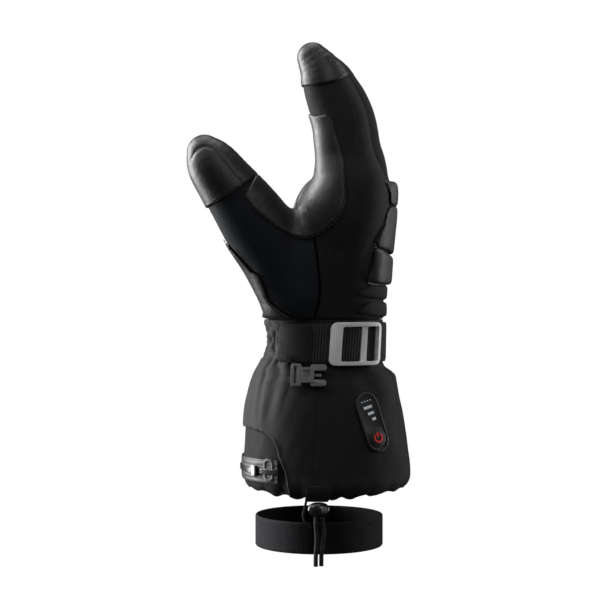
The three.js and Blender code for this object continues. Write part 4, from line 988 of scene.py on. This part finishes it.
def cuff_dent(angle, height, seam_angle):
    palm_turn = abs(from_angle(angle, math.pi))
    thumb_front = bump(from_angle(angle, -1.15), 0, 0.75)
    drop = -height / CUFF_LENGTH
    warp = 0.9 * np.sin(3 * angle + 0.1 * height) + 0.6 * np.sin(7 * angle - 0.05 * height)
    elastic_band = bump(height, 1, 15) * (0.12 + 0.88 * bump(palm_turn, 0, 1.15))
    zigzag = 1.1 * np.sin(0.42 * height + 2.2 * np.sin(4 * angle)) + 0.5 * np.sin(0.9 * height + 9 * angle)
    dent = 3.6 * elastic_band * pleat(30 * angle + warp + zigzag) * (0.75 + 0.25 * np.sin(5 * angle))
    dent += 0.8 * elastic_band * wave(0.75 * height + 2.5 * np.sin(6 * angle))
    fan = bump(height, -22, 17) * (0.1 + 0.9 * bump(palm_turn, 0, 1.0))
    dent += 1.8 * fan * pleat(15 * angle + 0.7 * warp) * (1 - 0.6 * thumb_front)
    for fold_angle, fold_height, lean, spread, length, depth in CUFF_FOLDS:
        away = from_angle(angle, fold_angle + lean * (drop - fold_height))
        dent += 2.1 * depth * bump(away, 0, spread) * bump(drop, fold_height, length)
    inside = in_pocket(angle, height)
    dent = dent * (1 - 0.7 * smoothstep(-1, 1, inside)) + 2.0 * smoothstep(-0.5, 0.7, inside)
    dent -= 0.55 * bump(inside, -1.1, 0.8)
    away = 52 * from_angle(angle, seam_angle)
    dent += 0.75 * bump(away, 0, 0.75) * (height < -12)
    hem_pull = bump(height, -95, 7.5)
    dent += (1.7 * hem_pull * pleat(26 * angle + 1.4 * np.sin(4 * angle))
             * (0.7 + 0.3 * np.sin(3 * angle + 1)))
    dent -= 0.5 * bump(height, -87, 4)
    return dent

def hem_line(angle):
    scallop = wave(22 * angle + 1.4 * np.sin(4 * angle)) - 0.5
    return -CUFF_LENGTH + 3 * np.cos(angle) ** 2 + 1.3 * scallop

# %% [markdown]
# ## The cuff's cloth
# The outer wall is rings of points worked out from the sections and folds, the hem turns under, and an inner
# wall runs back up to the wrist. One net of faces joins them, so that the cuff is hollow.

# %% Cuff
around = 420
turns = np.linspace(0, 2 * math.pi, around, endpoint=False)
levels = np.linspace(1, -WRIST_TOP / CUFF_LENGTH, 130)
rows, pocket_rows = [], []
for drop in levels:
    near_hem = smoothstep(0.82, 1, drop)
    height = -drop * CUFF_LENGTH + near_hem * (hem_line(turns) + CUFF_LENGTH)
    level = float(np.mean(height))
    seam_angle = thumb_side_angle(column(SEAM_LINE[:, 0], SEAM_LINE[:, 1], level), level)
    dent = cuff_dent(turns, height, seam_angle)
    plain = body_point(turns, height)
    dent += ripple(*plain.T, 0.35)
    dent = dent * smoothstep(WRIST_TOP, WRIST_TOP - 2.5, level) + 0.8 * bump(level, WRIST_TOP, 1.2)
    rows.append(body_point(turns, height, -dent))
    pocket_rows.append(in_pocket(turns, height) > 0)
hem_points = body_point(turns, hem_line(turns) - 0.9, -2.2)
inner_levels = [0.985, 0.955, 0.9, 0.8, 0.65, 0.5, 0.35, 0.2, 0.05, -0.08, -WRIST_TOP / CUFF_LENGTH]
inner = [body_point(
    turns, -drop * CUFF_LENGTH + (hem_line(turns) + CUFF_LENGTH) * smoothstep(0.82, 1, drop), -4.0)
         for drop in inner_levels]
rings = rows[::-1] + [hem_points] + inner
count = len(rings)
grid_ids = np.arange(count * around).reshape(count, around)
a, b = grid_ids, np.roll(grid_ids, -1, 1)
c, d = np.roll(b, -1, 0), np.roll(a, -1, 0)
faces = np.stack([a, d, c, b], -1).reshape(-1, 4)
cuff = make_piece("cuff_cloth", np.concatenate(rings), faces)
dress(cuff, softshell, "gauntlet_cuff")
# The pocket's faces take the near-black pocket colour, which is painted shade in the recess.
cuff.data.materials.append(pocket_shade_cloth)
cuff.data.materials.append(lining)
in_row = np.array(pocket_rows[::-1] + [np.zeros(around, bool)] * (count - len(rows)))
slots = np.where(in_row, 1, 0)
slots[len(rows) + 1:] = 2
cuff.data.polygons.foreach_set("material_index", slots.reshape(-1).astype(np.int32))
cuff.data.polygons.foreach_set("use_smooth", np.ones(len(faces), bool))
cuff.data.update()
print("cuff:", len(faces), "faces")

# %% [markdown]
# ## Stitches
# A lock stitch shows as a row of short, slightly sunk threads. One small spindle of thread is modelled once
# and copied along a line on the surface, each copy turned along the line and pressed into it.

# %% Rows of stitches
def spindle(length, radius):
    """One stitch: a six-sided thread with pinched ends."""
    stops = [(-0.5, 0.35), (-0.3, 0.95), (0, 1.0), (0.3, 0.95), (0.5, 0.35)]
    points = [(along * length, radius * share * math.cos(k * math.pi / 3),
               radius * share * math.sin(k * math.pi / 3))
              for along, share in stops for k in range(6)]
    faces = [tuple(range(5, -1, -1)), tuple(range(24, 30))]
    faces += [(r * 6 + k, r * 6 + (k + 1) % 6, r * 6 + 6 + (k + 1) % 6, r * 6 + 6 + k)
              for r in range(4) for k in range(6)]
    return np.array(points), faces

def stitch_rows(name, lines, material, length=1.7, gap=0.9, radius=0.28, sink=0.08):
    """Stitches along lines, each given as points on the surface and the slopes there."""
    base, base_faces = spindle(length, radius)
    points, faces = [], []
    for line, slopes in lines:
        steps = np.linalg.norm(np.diff(line, axis=0), axis=1)
        run = np.concatenate([[0], np.cumsum(steps)])
        for at in np.arange(length, run[-1] - length, length + gap):
            spot = np.array([np.interp(at, run, line[:, k]) for k in range(3)])
            ahead = np.array([np.interp(at + 0.4, run, line[:, k]) for k in range(3)]) - spot
            up = np.array([np.interp(at, run, slopes[:, k]) for k in range(3)])
            ahead /= max(np.linalg.norm(ahead), 1e-9)
            aside = np.cross(up, ahead)
            aside /= max(np.linalg.norm(aside), 1e-9)
            up = np.cross(ahead, aside)
            turned = spot + (base[:, :1] * ahead + base[:, 1:2] * aside + (base[:, 2:] - sink) * up)
            faces += [tuple(len(points) * 30 + k for k in face) for face in base_faces]
            points.append(turned)
    piece = make_piece(name, np.concatenate(points), faces)
    piece.data.polygons.foreach_set("use_smooth", np.ones(len(faces), bool))
    dress(piece, material)
    print(name, len(points), "stitches")
    return piece

def drawn(pixels, lift, step=1.0, skin=None):
    """A line drawn on the picture, laid on the hand or on a layer over it."""
    return on_skin(smooth_line(pixels, step=step), lift, skin=skin, pixels=True)

def beside(line, aside):
    """A line on the picture moved to its left, in pixels."""
    line = smooth_line(line, step=3.0)
    along = np.gradient(line, axis=0)
    along /= np.linalg.norm(along, axis=1, keepdims=True)
    return line + aside * along[:, ::-1] * [1, -1]

patch_edge = [(251, 188), (248.5, 195.5), (250, 200), (257.5, 208), (270, 217.5), (282, 226),
              (294, 232.3), (306, 234.7), (317.5, 231), (328.5, 223), (337, 214), (341.3, 203),
              (341.8, 190), (341.3, 180), (339.8, 160), (336.5, 148), (332.6, 136), (329, 122.5),
              (325, 117.5)]
rows = [drawn(patch_edge, 1.5), drawn(beside(patch_edge, -3.2), 1.5)]
cap_foot = [(213, 204), (222, 198.2), (234, 190.6), (246, 182.6)]
rows += [drawn(beside(cap_foot, aside), 1.5) for aside in (0.4, 3.2)]
stitch_rows("leather_stitches", rows, thread)
palm_seam = [(233, 249), (243, 261), (252, 271.5), (258, 274), (264.5, 285), (271.5, 302), (291, 317)]
stitch_rows(
    "palm_stitches", [drawn(beside(palm_seam, -2.6), 1.45), drawn(beside(palm_seam, 2.2), 0.05)], thread)
side_seam = [(349, 94), (353, 112), (356, 133), (355, 155), (354, 177), (352, 191), (348.6, 216),
             (343, 223), (331, 256), (326, 274), (320.6, 292)]
stitch_rows("side_seam_stitches", [drawn(side_seam, 0.0)], dark_thread, length=1.2, gap=1.0,
            radius=0.34, sink=-0.05)
guard_edge = [(374.5, 188), (390.5, 208.5), (382, 227), (373.6, 246), (367.2, 266), (366.6, 283)]
stitch_rows("guard_stitches", [drawn(guard_edge[1:], 0.75)], thread, length=1.5, gap=0.8)

# %% [markdown]
# ## Hardware
# Small hard parts are modelled flat, as they leave the mould, from cubes whose corners are bevelled and
# whose windows are cut out. Then they are laid on the body's surface by moving each point, as the strap
# bends them.

# %% Modelling helpers
def only(piece):
    bpy.ops.object.select_all(action="DESELECT")
    piece.select_set(True)
    bpy.context.view_layer.objects.active = piece
    return piece

def with_modifier(piece, kind, **settings):
    only(piece)
    modifier = piece.modifiers.new(kind.lower(), kind)
    for setting, value in settings.items():
        setattr(modifier, setting, value)
    bpy.ops.object.modifier_apply(modifier=modifier.name)
    return piece

def block(name, low, high, corner=0.0, segments=5):
    """A block in millimetres, with its upright edges rounded."""
    bpy.ops.object.select_all(action="DESELECT")
    low, high = np.array(low, float), np.array(high, float)
    bpy.ops.mesh.primitive_cube_add(size=1, location=(low + high) / 2, scale=high - low)
    piece = bpy.context.object
    piece.name = name
    bpy.ops.object.transform_apply(location=True, rotation=True, scale=True)
    if corner:
        bpy.ops.object.mode_set(mode="EDIT")
        bpy.ops.mesh.select_mode(type="EDGE")
        bpy.ops.mesh.select_all(action="DESELECT")
        bpy.ops.object.mode_set(mode="OBJECT")
        for edge in piece.data.edges:
            ends = [piece.data.vertices[k].co for k in edge.vertices]
            edge.select = abs(ends[0].z - ends[1].z) > 0.01
        bpy.ops.object.mode_set(mode="EDIT")
        bpy.ops.mesh.bevel(offset=corner, segments=segments, affect="EDGES")
        bpy.ops.object.mode_set(mode="OBJECT")
    return piece

def combine(piece, other, operation):
    """Joins or cuts one solid with another, and removes the other."""
    with_modifier(piece, "BOOLEAN", object=other, operation=operation, solver="EXACT")
    bpy.data.objects.remove(other)
    return piece

def sliced(piece, axis, pitch):
    """Cuts a piece into slices along an axis, so that it can bend."""
    corners = np.array([v.co for v in piece.data.vertices])
    normal = np.eye(3)[axis]
    only(piece)
    bpy.ops.object.mode_set(mode="EDIT")
    for at in np.arange(corners[:, axis].min() + pitch, corners[:, axis].max(), pitch):
        bpy.ops.mesh.select_all(action="SELECT")
        bpy.ops.mesh.bisect(plane_co=normal * at, plane_no=normal)
    bpy.ops.object.mode_set(mode="OBJECT")
    return piece

def strap_point(angle, height, outside):
    low, high = STRAP_HEIGHT - STRAP_WIDTH / 2, STRAP_HEIGHT + STRAP_WIDTH / 2
    share = ((height - low) / STRAP_WIDTH)[..., None]
    return body_point(angle, low, outside) * (1 - share) + body_point(angle, high, outside) * share

def laid(piece, x, height, tilt=0.0, surface=body_point):
    """Lays flat work on the body: x runs round it from an anchor, y up it and z outwards."""
    anchor = thumb_side_angle(x, height)
    far = reach(section(height), anchor)
    flat = np.array([v.co for v in piece.data.vertices])
    across = flat[:, 0] * math.cos(tilt) - flat[:, 1] * math.sin(tilt)
    up = flat[:, 0] * math.sin(tilt) + flat[:, 1] * math.cos(tilt)
    placed = surface(anchor + across / far, height + up, flat[:, 2]) / 1000
    piece.data.vertices.foreach_set("co", placed.reshape(-1).astype(np.float32))
    piece.data.update()
    return piece

def eased(piece, width=0.35, segments=2, angle=35):
    """Breaks the sharp edges of a moulded part."""
    with_modifier(piece, "BEVEL", width=width, segments=segments, limit_method="ANGLE",
                  angle_limit=math.radians(angle))
    only(piece)
    bpy.ops.object.shade_smooth_by_angle(angle=math.radians(35))
    return piece

STRAP_HEIGHT, STRAP_WIDTH, STRAP_THICKNESS, STRAP_LIFT = 2.4, 25.6, 1.5, 0.6
OVER_STRAP = STRAP_LIFT + STRAP_THICKNESS + 0.3
TAB_X = -0.26 * WRIST_DEPTH

# %% [markdown]
# ## Wrist strap
# The webbing lies straight across its width and runs round the back of the wrist. Its net keeps millimetres
# in its UV map, so the ribs follow the strap, and its edges are rounded where the weave turns.

# %% Webbing
def webbing_strip(name, start, end, low, high, inside, thickness, surface, columns, material):
    """A strip with rounded edges and a UV map in millimetres."""
    angles = np.linspace(start, end, columns)
    profile = []
    for k in range(13):
        profile.append((low + (high - low) * k / 12, inside + thickness * (1 if 0 < k < 12 else 0.72)))
    profile += [(h, inside + thickness * share)
                for h, share in ((high, 0.28), (high - 0.4, 0), (low + 0.4, 0), (low, 0.28))]
    heights, outs = np.array(profile).T
    points = np.concatenate([surface(angle + 0 * heights, heights, outs) for angle in angles])
    size = len(profile)
    faces = [(c * size + (k + 1) % size, c * size + k, (c + 1) * size + k, (c + 1) * size + (k + 1) % size)
             for c in range(columns - 1) for k in range(size)]
    faces += [tuple(range(size)),
              tuple(range((columns - 1) * size + size - 1, (columns - 1) * size - 1, -1))]
    piece = make_piece(name, points, faces)
    centre = np.array([surface(np.array(angle), np.array((low + high) / 2), np.array(inside))
                       for angle in angles])
    run = np.concatenate([[0], np.cumsum(np.linalg.norm(np.diff(centre, axis=0), axis=1))])
    uv = piece.data.uv_layers.new(name="UVMap")
    loops = np.array([loop.vertex_index for loop in piece.data.loops])
    uv.data.foreach_set(
        "uv", np.stack([run[loops // size], heights[loops % size]], 1).reshape(-1).astype(np.float32))
    dress(piece, material)
    only(piece)
    bpy.ops.object.shade_smooth_by_angle(angle=math.radians(50))
    return piece

strap_start = thumb_side_angle(TAB_X - 8, STRAP_HEIGHT)
strap = webbing_strip("wrist_webbing", strap_start, 0.72 * math.pi, STRAP_HEIGHT - STRAP_WIDTH / 2,
                      STRAP_HEIGHT + STRAP_WIDTH / 2, STRAP_LIFT, STRAP_THICKNESS, strap_point, 220, webbing)
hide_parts("wrist_strap")

# %% [markdown]
# ## Cover tab
# A small tab of softshell lies over the strap. It is a block with eased edges, sliced finely enough to bend,
# and then laid round the wrist.

# %% Cover tab
tab = block("cover_tab_cloth", (-10, -12.8, OVER_STRAP), (10, 12.8, OVER_STRAP + 1.3), 3)
tab = laid(sliced(sliced(eased(tab, 0.5), 0, 1.2), 1, 2.0), TAB_X, STRAP_HEIGHT, surface=strap_point)
dress(tab, softshell, "strap_cover_tab")

# %% [markdown]
# ## Ladder-lock buckle
# A satin grey frame with two windows: a broad bar on the thumb side, thin rails and a thin curved bar at the
# back. The middle bar is set lower, and the webbing runs over it.

# %% Buckle
buckle = block("buckle_frame", (-16.5, -14.3, OVER_STRAP), (16.5, 14.3, OVER_STRAP + 3), 4.2, 6)
windows = [((-9.5, -11.7), (2.3, 11.7)), ((6.3, -11.7), (14.1, 11.7))]
for (x0, y0), (x1, y1) in windows:
    hole = block("hole", (x0, y0, OVER_STRAP - 1), (x1, y1, OVER_STRAP + 5), 1.1, 3)
    combine(buckle, hole, "DIFFERENCE")
sunk = block("sunk", (2.0, -11.75, OVER_STRAP + 1.6), (6.6, 11.75, OVER_STRAP + 5))
combine(buckle, sunk, "DIFFERENCE")
buckle = laid(sliced(eased(buckle, 0.55, 3), 0, 1.5), 0.225 * WRIST_DEPTH, STRAP_HEIGHT - 0.5,
              surface=strap_point)
# The buckle's light colour is partly a painted highlight.
dress(buckle, grey_and_painted_highlight_plastic, "strap_buckle")
over_bar = webbing_strip(
    "webbing_over_bar", thumb_side_angle(0.225 * WRIST_DEPTH - 8.2, STRAP_HEIGHT),
    thumb_side_angle(0.225 * WRIST_DEPTH + 1.2, STRAP_HEIGHT), STRAP_HEIGHT - 12, STRAP_HEIGHT + 11.0,
    OVER_STRAP + 0.1, 1.4, strap_point, 40, webbing)

# %% [markdown]
# ## Side-release plug and its loop
# The plug hangs below the strap on a short loop of webbing. Its body is cut from one block: a slotted bar, a
# waist, and two prongs with a tongue between them.

# %% Plug
PLUG_LENGTH, PLUG_HEIGHT, PLUG_THICKNESS = 22.6, 14.6, 3.4
PLUG_X = TAB_X + 0.31 * PLUG_LENGTH
PLUG_Z = STRAP_HEIGHT - STRAP_WIDTH / 2 - 0.9 - PLUG_HEIGHT / 2

def share_block(name, x0, x1, z0, z1, corner, low=0.0, high=1.0):
    half = PLUG_LENGTH / 2
    return block(name, (x0 * PLUG_LENGTH - half, z0 * PLUG_HEIGHT, low * PLUG_THICKNESS),
                 (x1 * PLUG_LENGTH - half, z1 * PLUG_HEIGHT, high * PLUG_THICKNESS), corner, 4)

plug = share_block("plug", 0, 0.3, -0.5, 0.5, 1.2)
combine(plug, share_block("slot", 0.09, 0.17, -0.38, 0.38, 0.5, -1, 2), "DIFFERENCE")
for part in [("body", 0.24, 0.66, -0.34, 0.34, 1.0, 0, 1), ("upper", 0.56, 1.0, 0.2, 0.48, 1.3, 0.1, 0.9),
             ("lower", 0.56, 1.0, -0.48, -0.2, 1.3, 0.1, 0.9),
             ("tongue", 0.6, 0.86, -0.06, 0.06, 0.4, 0.25, 0.75)]:
    combine(plug, share_block(*part), "UNION")
combine(plug, share_block("panel", 0.34, 0.56, -0.2, 0.2, 0.9, 0.8, 2), "DIFFERENCE")
eased(plug, 0.4, 2)
plug_spot = body_point(thumb_side_angle(PLUG_X, PLUG_Z), PLUG_Z, 0.9)
plug_out = np.array([-0.13, -0.95, 0.29])
plug_out /= np.linalg.norm(plug_out)
plug_along = np.cross([0, 0, 1], plug_out)
plug_along /= np.linalg.norm(plug_along)
if plug_along[0] < 0:
    plug_along = -plug_along
plug_up = np.cross(plug_out, plug_along) * -1
plug_up *= np.sign(plug_up[2])
flat = np.array([v.co for v in plug.data.vertices])
stood = plug_spot + flat[:, :1] * plug_along + flat[:, 1:2] * plug_up + flat[:, 2:] * plug_out
plug.data.vertices.foreach_set("co", (stood / 1000).reshape(-1).astype(np.float32))
if np.dot(np.cross(plug_along, plug_up), plug_out) < 0:
    only(plug)
    bpy.ops.object.mode_set(mode="EDIT")
    bpy.ops.mesh.select_all(action="SELECT")
    bpy.ops.mesh.flip_normals()
    bpy.ops.object.mode_set(mode="OBJECT")
plug.data.update()
dress(plug, plug_plastic, "clip_plug")
clip_loop_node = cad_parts["clip_loop"]
clip_loop_node.data.materials.clear()
clip_loop_node.data.materials.append(webbing)

# %% [markdown]
# ## Control pad
# An oval rubber pad with a raised rim, sewn to the cuff. It carries four small lamps, three bars and a round
# button with a ring-and-line power sign.

# %% Pad
PAD_X, PAD_Z, PAD_TILT, PAD_WIDTH, PAD_LENGTH = 26.3, -47.5, math.radians(15), 15.5, 38.0
BUTTON_DROP = PAD_LENGTH / 2 - PAD_WIDTH / 2 - 1

def on_pad(piece):
    return laid(piece, PAD_X, PAD_Z, PAD_TILT)

def oval(name, width, length, low, high, drop=0.0, segments=10):
    return block(name, (-width / 2, -length / 2 - drop, low), (width / 2, length / 2 - drop, high),
                 width / 2 - 0.01, segments)

pad = oval("pad", PAD_WIDTH, PAD_LENGTH, 0.3, 2.6)
combine(pad, oval("well", PAD_WIDTH - 2.6, PAD_LENGTH - 2.6, 1.9, 5), "DIFFERENCE")
combine(pad, oval("button_ring", 11.6, 11.6, 1.5, 2.5, BUTTON_DROP), "UNION")
combine(pad, oval("button_seat", 9.9, 9.9, 1.6, 5, BUTTON_DROP), "DIFFERENCE")
on_pad(sliced(eased(pad, 0.4, 2), 1, 2.5))
dress(pad, rubber, "control_pad")
button = oval("button", 9.6, 9.6, 1.7, 2.9, BUTTON_DROP)
on_pad(eased(button, 0.4, 3))
dress(button, rubber, "power_button")
def ring_sign():
    """A ring open at the top, with an upright line in the gap."""
    points, faces = [], []
    turns = np.radians(np.linspace(120, 420, 37))
    for low in (2.85, 3.15):
        for far in (2.1, 3.1):
            points += [(far * math.cos(turn), far * math.sin(turn) - BUTTON_DROP, low) for turn in turns]
    count = len(turns)
    for k in range(count - 1):
        a, b, c, d = k, k + count, k + 2 * count, k + 3 * count
        faces += [(a, a + 1, b + 1, b), (c, d, d + 1, c + 1), (a, c, c + 1, a + 1), (b, b + 1, d + 1, d)]
    faces += [(0, count, 3 * count, 2 * count), (count - 1, 3 * count - 1, 4 * count - 1, 2 * count - 1)]
    return make_piece("power_sign", np.array(points) * 1000, faces)

sign = ring_sign()
on_pad(eased(sign, 0.08, 1))
dress(sign, red_rubber)
line = block("power_line", (-0.5, 0.6 - BUTTON_DROP, 2.85), (0.5, 3.6 - BUTTON_DROP, 3.15), 0.3, 2)
on_pad(line)
dress(line, red_rubber)

def marks(name, boxes, corner, material):
    """Printed marks on the pad: x, y, half width and half height of each."""
    whole = None
    for x, y, wide, high in boxes:
        mark = block(name, (x - wide, y - high, 1.85), (x + wide, y + high, 2.12), corner, 3)
        whole = mark if whole is None else combine(whole, mark, "UNION")
    on_pad(whole)
    return dress(whole, material)

marks("lamps", [(-3.0 + 2.0 * k, 13.6, 0.42, 0.42) for k in range(4)], 0.3, printed_white)
marks("bars", [(0.0, 9.6, 3.0, 0.85), (0.9, 5.6, 2.2, 0.85), (1.7, 1.7, 1.4, 0.85)], 0.2, printed_white)

# %% [markdown]
# ## Stitches on the cuff
# The cuff's seams are sewn too. The same stitches follow lines of angle and height on the cuff, and a bar
# tack is one close zigzag of thread.

# %% Stitches on the cuff
def on_body(turns, heights, out):
    """A line on the body, or on the strap's level, and the slope along it."""
    points = body_point(turns, heights, out)
    slopes = body_point(turns, heights, out + 1) - points
    return points, slopes

def pad_outline(grow, count=90):
    """Points round the pad, a distance outside its edge."""
    half, straight = PAD_WIDTH / 2 + grow, (PAD_LENGTH - PAD_WIDTH) / 2
    turn = np.linspace(0, 2 * math.pi, count)
    across, up = half * np.cos(turn), half * np.sin(turn) + straight * np.sign(np.sin(turn))
    anchor = thumb_side_angle(PAD_X, PAD_Z)
    far = reach(section(PAD_Z), anchor)
    x = across * math.cos(PAD_TILT) - up * math.sin(PAD_TILT)
    y = across * math.sin(PAD_TILT) + up * math.cos(PAD_TILT)
    return anchor + x / far, PAD_Z + y

stitch_rows("pad_stitches", [on_body(*pad_outline(2.6), 0.05)], dark_thread, length=1.3, gap=1.1,
            radius=0.32)
seam_heights = np.linspace(-90, -24, 60)
seam_turns = np.array([thumb_side_angle(float(column(SEAM_LINE[:, 0], SEAM_LINE[:, 1], h)), h)
                       for h in seam_heights])
stitch_rows("cuff_seam_stitches", [on_body(seam_turns + 1.7 / 52, seam_heights, 0.0)], dark_thread,
            length=1.4, gap=1.0, radius=0.3)
edge_heights = np.linspace(-92, -56, 40)
edge_turns = column(POCKET[:, 0], POCKET[:, 1], edge_heights) - math.pi
stitch_rows("pocket_stitches", [on_body(edge_turns + 2.4 / 52, edge_heights, 0.1)], dark_thread,
            length=1.4, gap=1.0)

def tack(x, height, rise, tilt):
    """A bar tack: a close zigzag of thread."""
    ends = np.array([((-1) ** k * 0.9, (k / 11 - 0.5) * rise) for k in range(12)])
    line = smooth_line(ends, step=0.5)
    across = line[:, 0] * math.cos(tilt) - line[:, 1] * math.sin(tilt)
    up = line[:, 0] * math.sin(tilt) + line[:, 1] * math.cos(tilt)
    anchor = thumb_side_angle(x, height)
    return on_body(anchor + across / reach(section(height), anchor), height + up, OVER_STRAP + 1.35)

stitch_rows("bar_tacks", [tack(-13.5, 2.0, 7, 0.2), tack(-14.6, -6.5, 6, -0.3)], thread, length=1.1,
            gap=0.1, radius=0.3)

# %% [markdown]
# ## Pocket zipper, pull, hem tab and cord lock
# The zipper's tape is reflective and ribbed across. Its pull is a loop of cord through a slider. At the hem
# a webbing tab carries the egg-shaped cord lock with its button; the lock's top is hollow.

# %% Zipper
ZIP_HEIGHT, ZIP_WIDTH = -79.3, 15.0

def tape_strip(name, low, high, out, thickness, edge, material, columns=90):
    return webbing_strip(
        name, math.pi - edge, math.pi + edge, low, high, out, thickness, body_point, columns, material)

tape = tape_strip(
    "zip_tape", ZIP_HEIGHT - ZIP_WIDTH / 2, ZIP_HEIGHT + ZIP_WIDTH / 2, -1.5, 1.2, 0.95, reflective_tape)
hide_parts("zipper")
teeth = tape_strip("zip_teeth", ZIP_HEIGHT - 1.7, ZIP_HEIGHT + 1.7, -0.4, 0.9, 0.94, dark_plastic)
slider = block("slider", (-2.7, -3.6, 0.1), (2.7, 3.6, 2.3), 1.2, 3)
laid(sliced(eased(slider, 0.5, 2), 0, 1.5), -47, ZIP_HEIGHT)
dress(slider, dark_plastic, "zip_slider")
pull = block("pull", (-4.0, -7.5, -1.3), (4.0, 7.5, 0.3), 3.2, 6)
combine(pull, block("pull_hole", (-2.2, -5.4, -4), (2.2, 5.4, 4), 1.9, 5), "DIFFERENCE")
laid(sliced(eased(pull, 0.5, 2), 1, 2.0), -38.6, -78.3)
dress(pull, cord_yarn_flat, "zip_pull")

# %% [markdown]
# ## Hem tab and cord lock
# A tab holds the draw cord at the hem, and a moulded lock grips it. The lock is round and a little
# flattened, so it is a profile turned about an upright axis.

# %% Hem tab and cord lock
TAB_Z = -91.75
hem_tab = block("hem_tab_webbing", (-7.75, -5.25, 0.3), (7.75, 5.25, 1.5), 1.2, 3)
laid(sliced(sliced(eased(hem_tab, 0.4), 0, 1.5), 1, 1.5), LOCK[0], TAB_Z)
dress(hem_tab, softshell, "hem_tab")

def turned(name, profile, centre, squash, around=40):
    """A body turned round an upright axis from radius and height pairs, flattened front to back."""
    points = [(radius * math.cos(2 * math.pi * k / around),
               radius * math.sin(2 * math.pi * k / around) * squash, height)
              for radius, height in profile for k in range(around)]
    faces = [(r * around + k, r * around + (k + 1) % around,
              (r + 1) * around + (k + 1) % around, (r + 1) * around + k)
             for r in range(len(profile) - 1) for k in range(around)]
    faces += [tuple(range(around - 1, -1, -1)),
              tuple(range((len(profile) - 1) * around, len(profile) * around))]
    piece = make_piece(name, np.array(points) + centre, faces)
    only(piece)
    bpy.ops.object.shade_smooth_by_angle(angle=math.radians(40))
    return piece

lock_profile = [(1.0, -4.25), (2.6, -4.1), (4.6, -3.5), (6.1, -2.3), (6.95, -0.6), (7.0, 0.9),
                (6.4, 2.3), (5.0, 3.5), (3.4, 4.15), (2.9, 4.3), (2.6, 4.1), (2.4, 3.2), (0.6, 3.0)]
lock = turned("cord_lock_body", lock_profile, LOCK, 0.62)
dress(lock, dark_plastic, "cord_lock")
lock_button = turned(
    "lock_button", [(0.2, -1.6), (1.6, -1.6), (2.0, -1.2), (2.0, 1.2), (1.6, 1.6), (0.2, 1.6)],
    LOCK + [3.2, -3.6, 0.1], 0.5, 20)
dress(lock_button, plug_plastic)

# %% [markdown]
# ## Leash
# The leash is a flat elastic band sewn into a ring that hangs from its cord. Its weave is a UV map in
# millimetres.

# %% Leash band
BAND_RADIUS, BAND_WIDTH, BAND_THICKNESS = 41.0, 20.0, 2.0
BAND_CENTRE, BAND_TOP = np.array([-6.05, 0.0]), -111.3

def leash_band():
    around = 180
    profile = [(1.0, -0.7)] + [(1.0, -BAND_WIDTH * k / 10) for k in range(1, 10)] + [
        (1.0, 0.7 - BAND_WIDTH), (0.75, -BAND_WIDTH), (0.25, -BAND_WIDTH), (0.0, 0.5 - BAND_WIDTH)]
    profile += [(0.0, -BAND_WIDTH * k / 6) for k in range(5, 0, -1)] + [
        (0.0, -0.5), (0.25, 0.0), (0.75, 0.0)]
    size = len(profile)
    points, uvs = [], []
    for k in range(around):
        turn = 2 * math.pi * k / around - math.pi / 2
        wobble = 0.25 * math.sin(3 * turn + 0.5)
        for out, drop in profile:
            far = BAND_RADIUS - BAND_THICKNESS / 2 + out * BAND_THICKNESS + wobble
            points.append((BAND_CENTRE[0] + far * math.cos(turn), far * math.sin(turn), BAND_TOP + drop))
    faces = [(k * size + j, ((k + 1) % around) * size + j, ((k + 1) % around) * size + (j + 1) % size,
              k * size + (j + 1) % size) for k in range(around) for j in range(size)]
    band = make_piece("leash_elastic_band", points, faces)
    uv = band.data.uv_layers.new(name="UVMap")
    girth = 2 * math.pi * BAND_RADIUS
    flat = []
    for polygon in band.data.polygons:
        ring = [band.data.vertices[v].index // size for v in polygon.vertices]
        wrap = max(ring) - min(ring) > 2
        for vertex in polygon.vertices:
            at = vertex // size + (around if wrap and vertex // size == 0 else 0)
            flat += [girth * at / around, profile[vertex % size][1]]
    uv.data.foreach_set("uv", flat)
    only(band)
    bpy.ops.object.shade_smooth_by_angle(angle=math.radians(50))
    return band

band = leash_band()
dress(band, elastic, "leash_band")

for tail in (right_tail, left_tail, leash_line):
    tail.data.materials.append(cord_yarn)
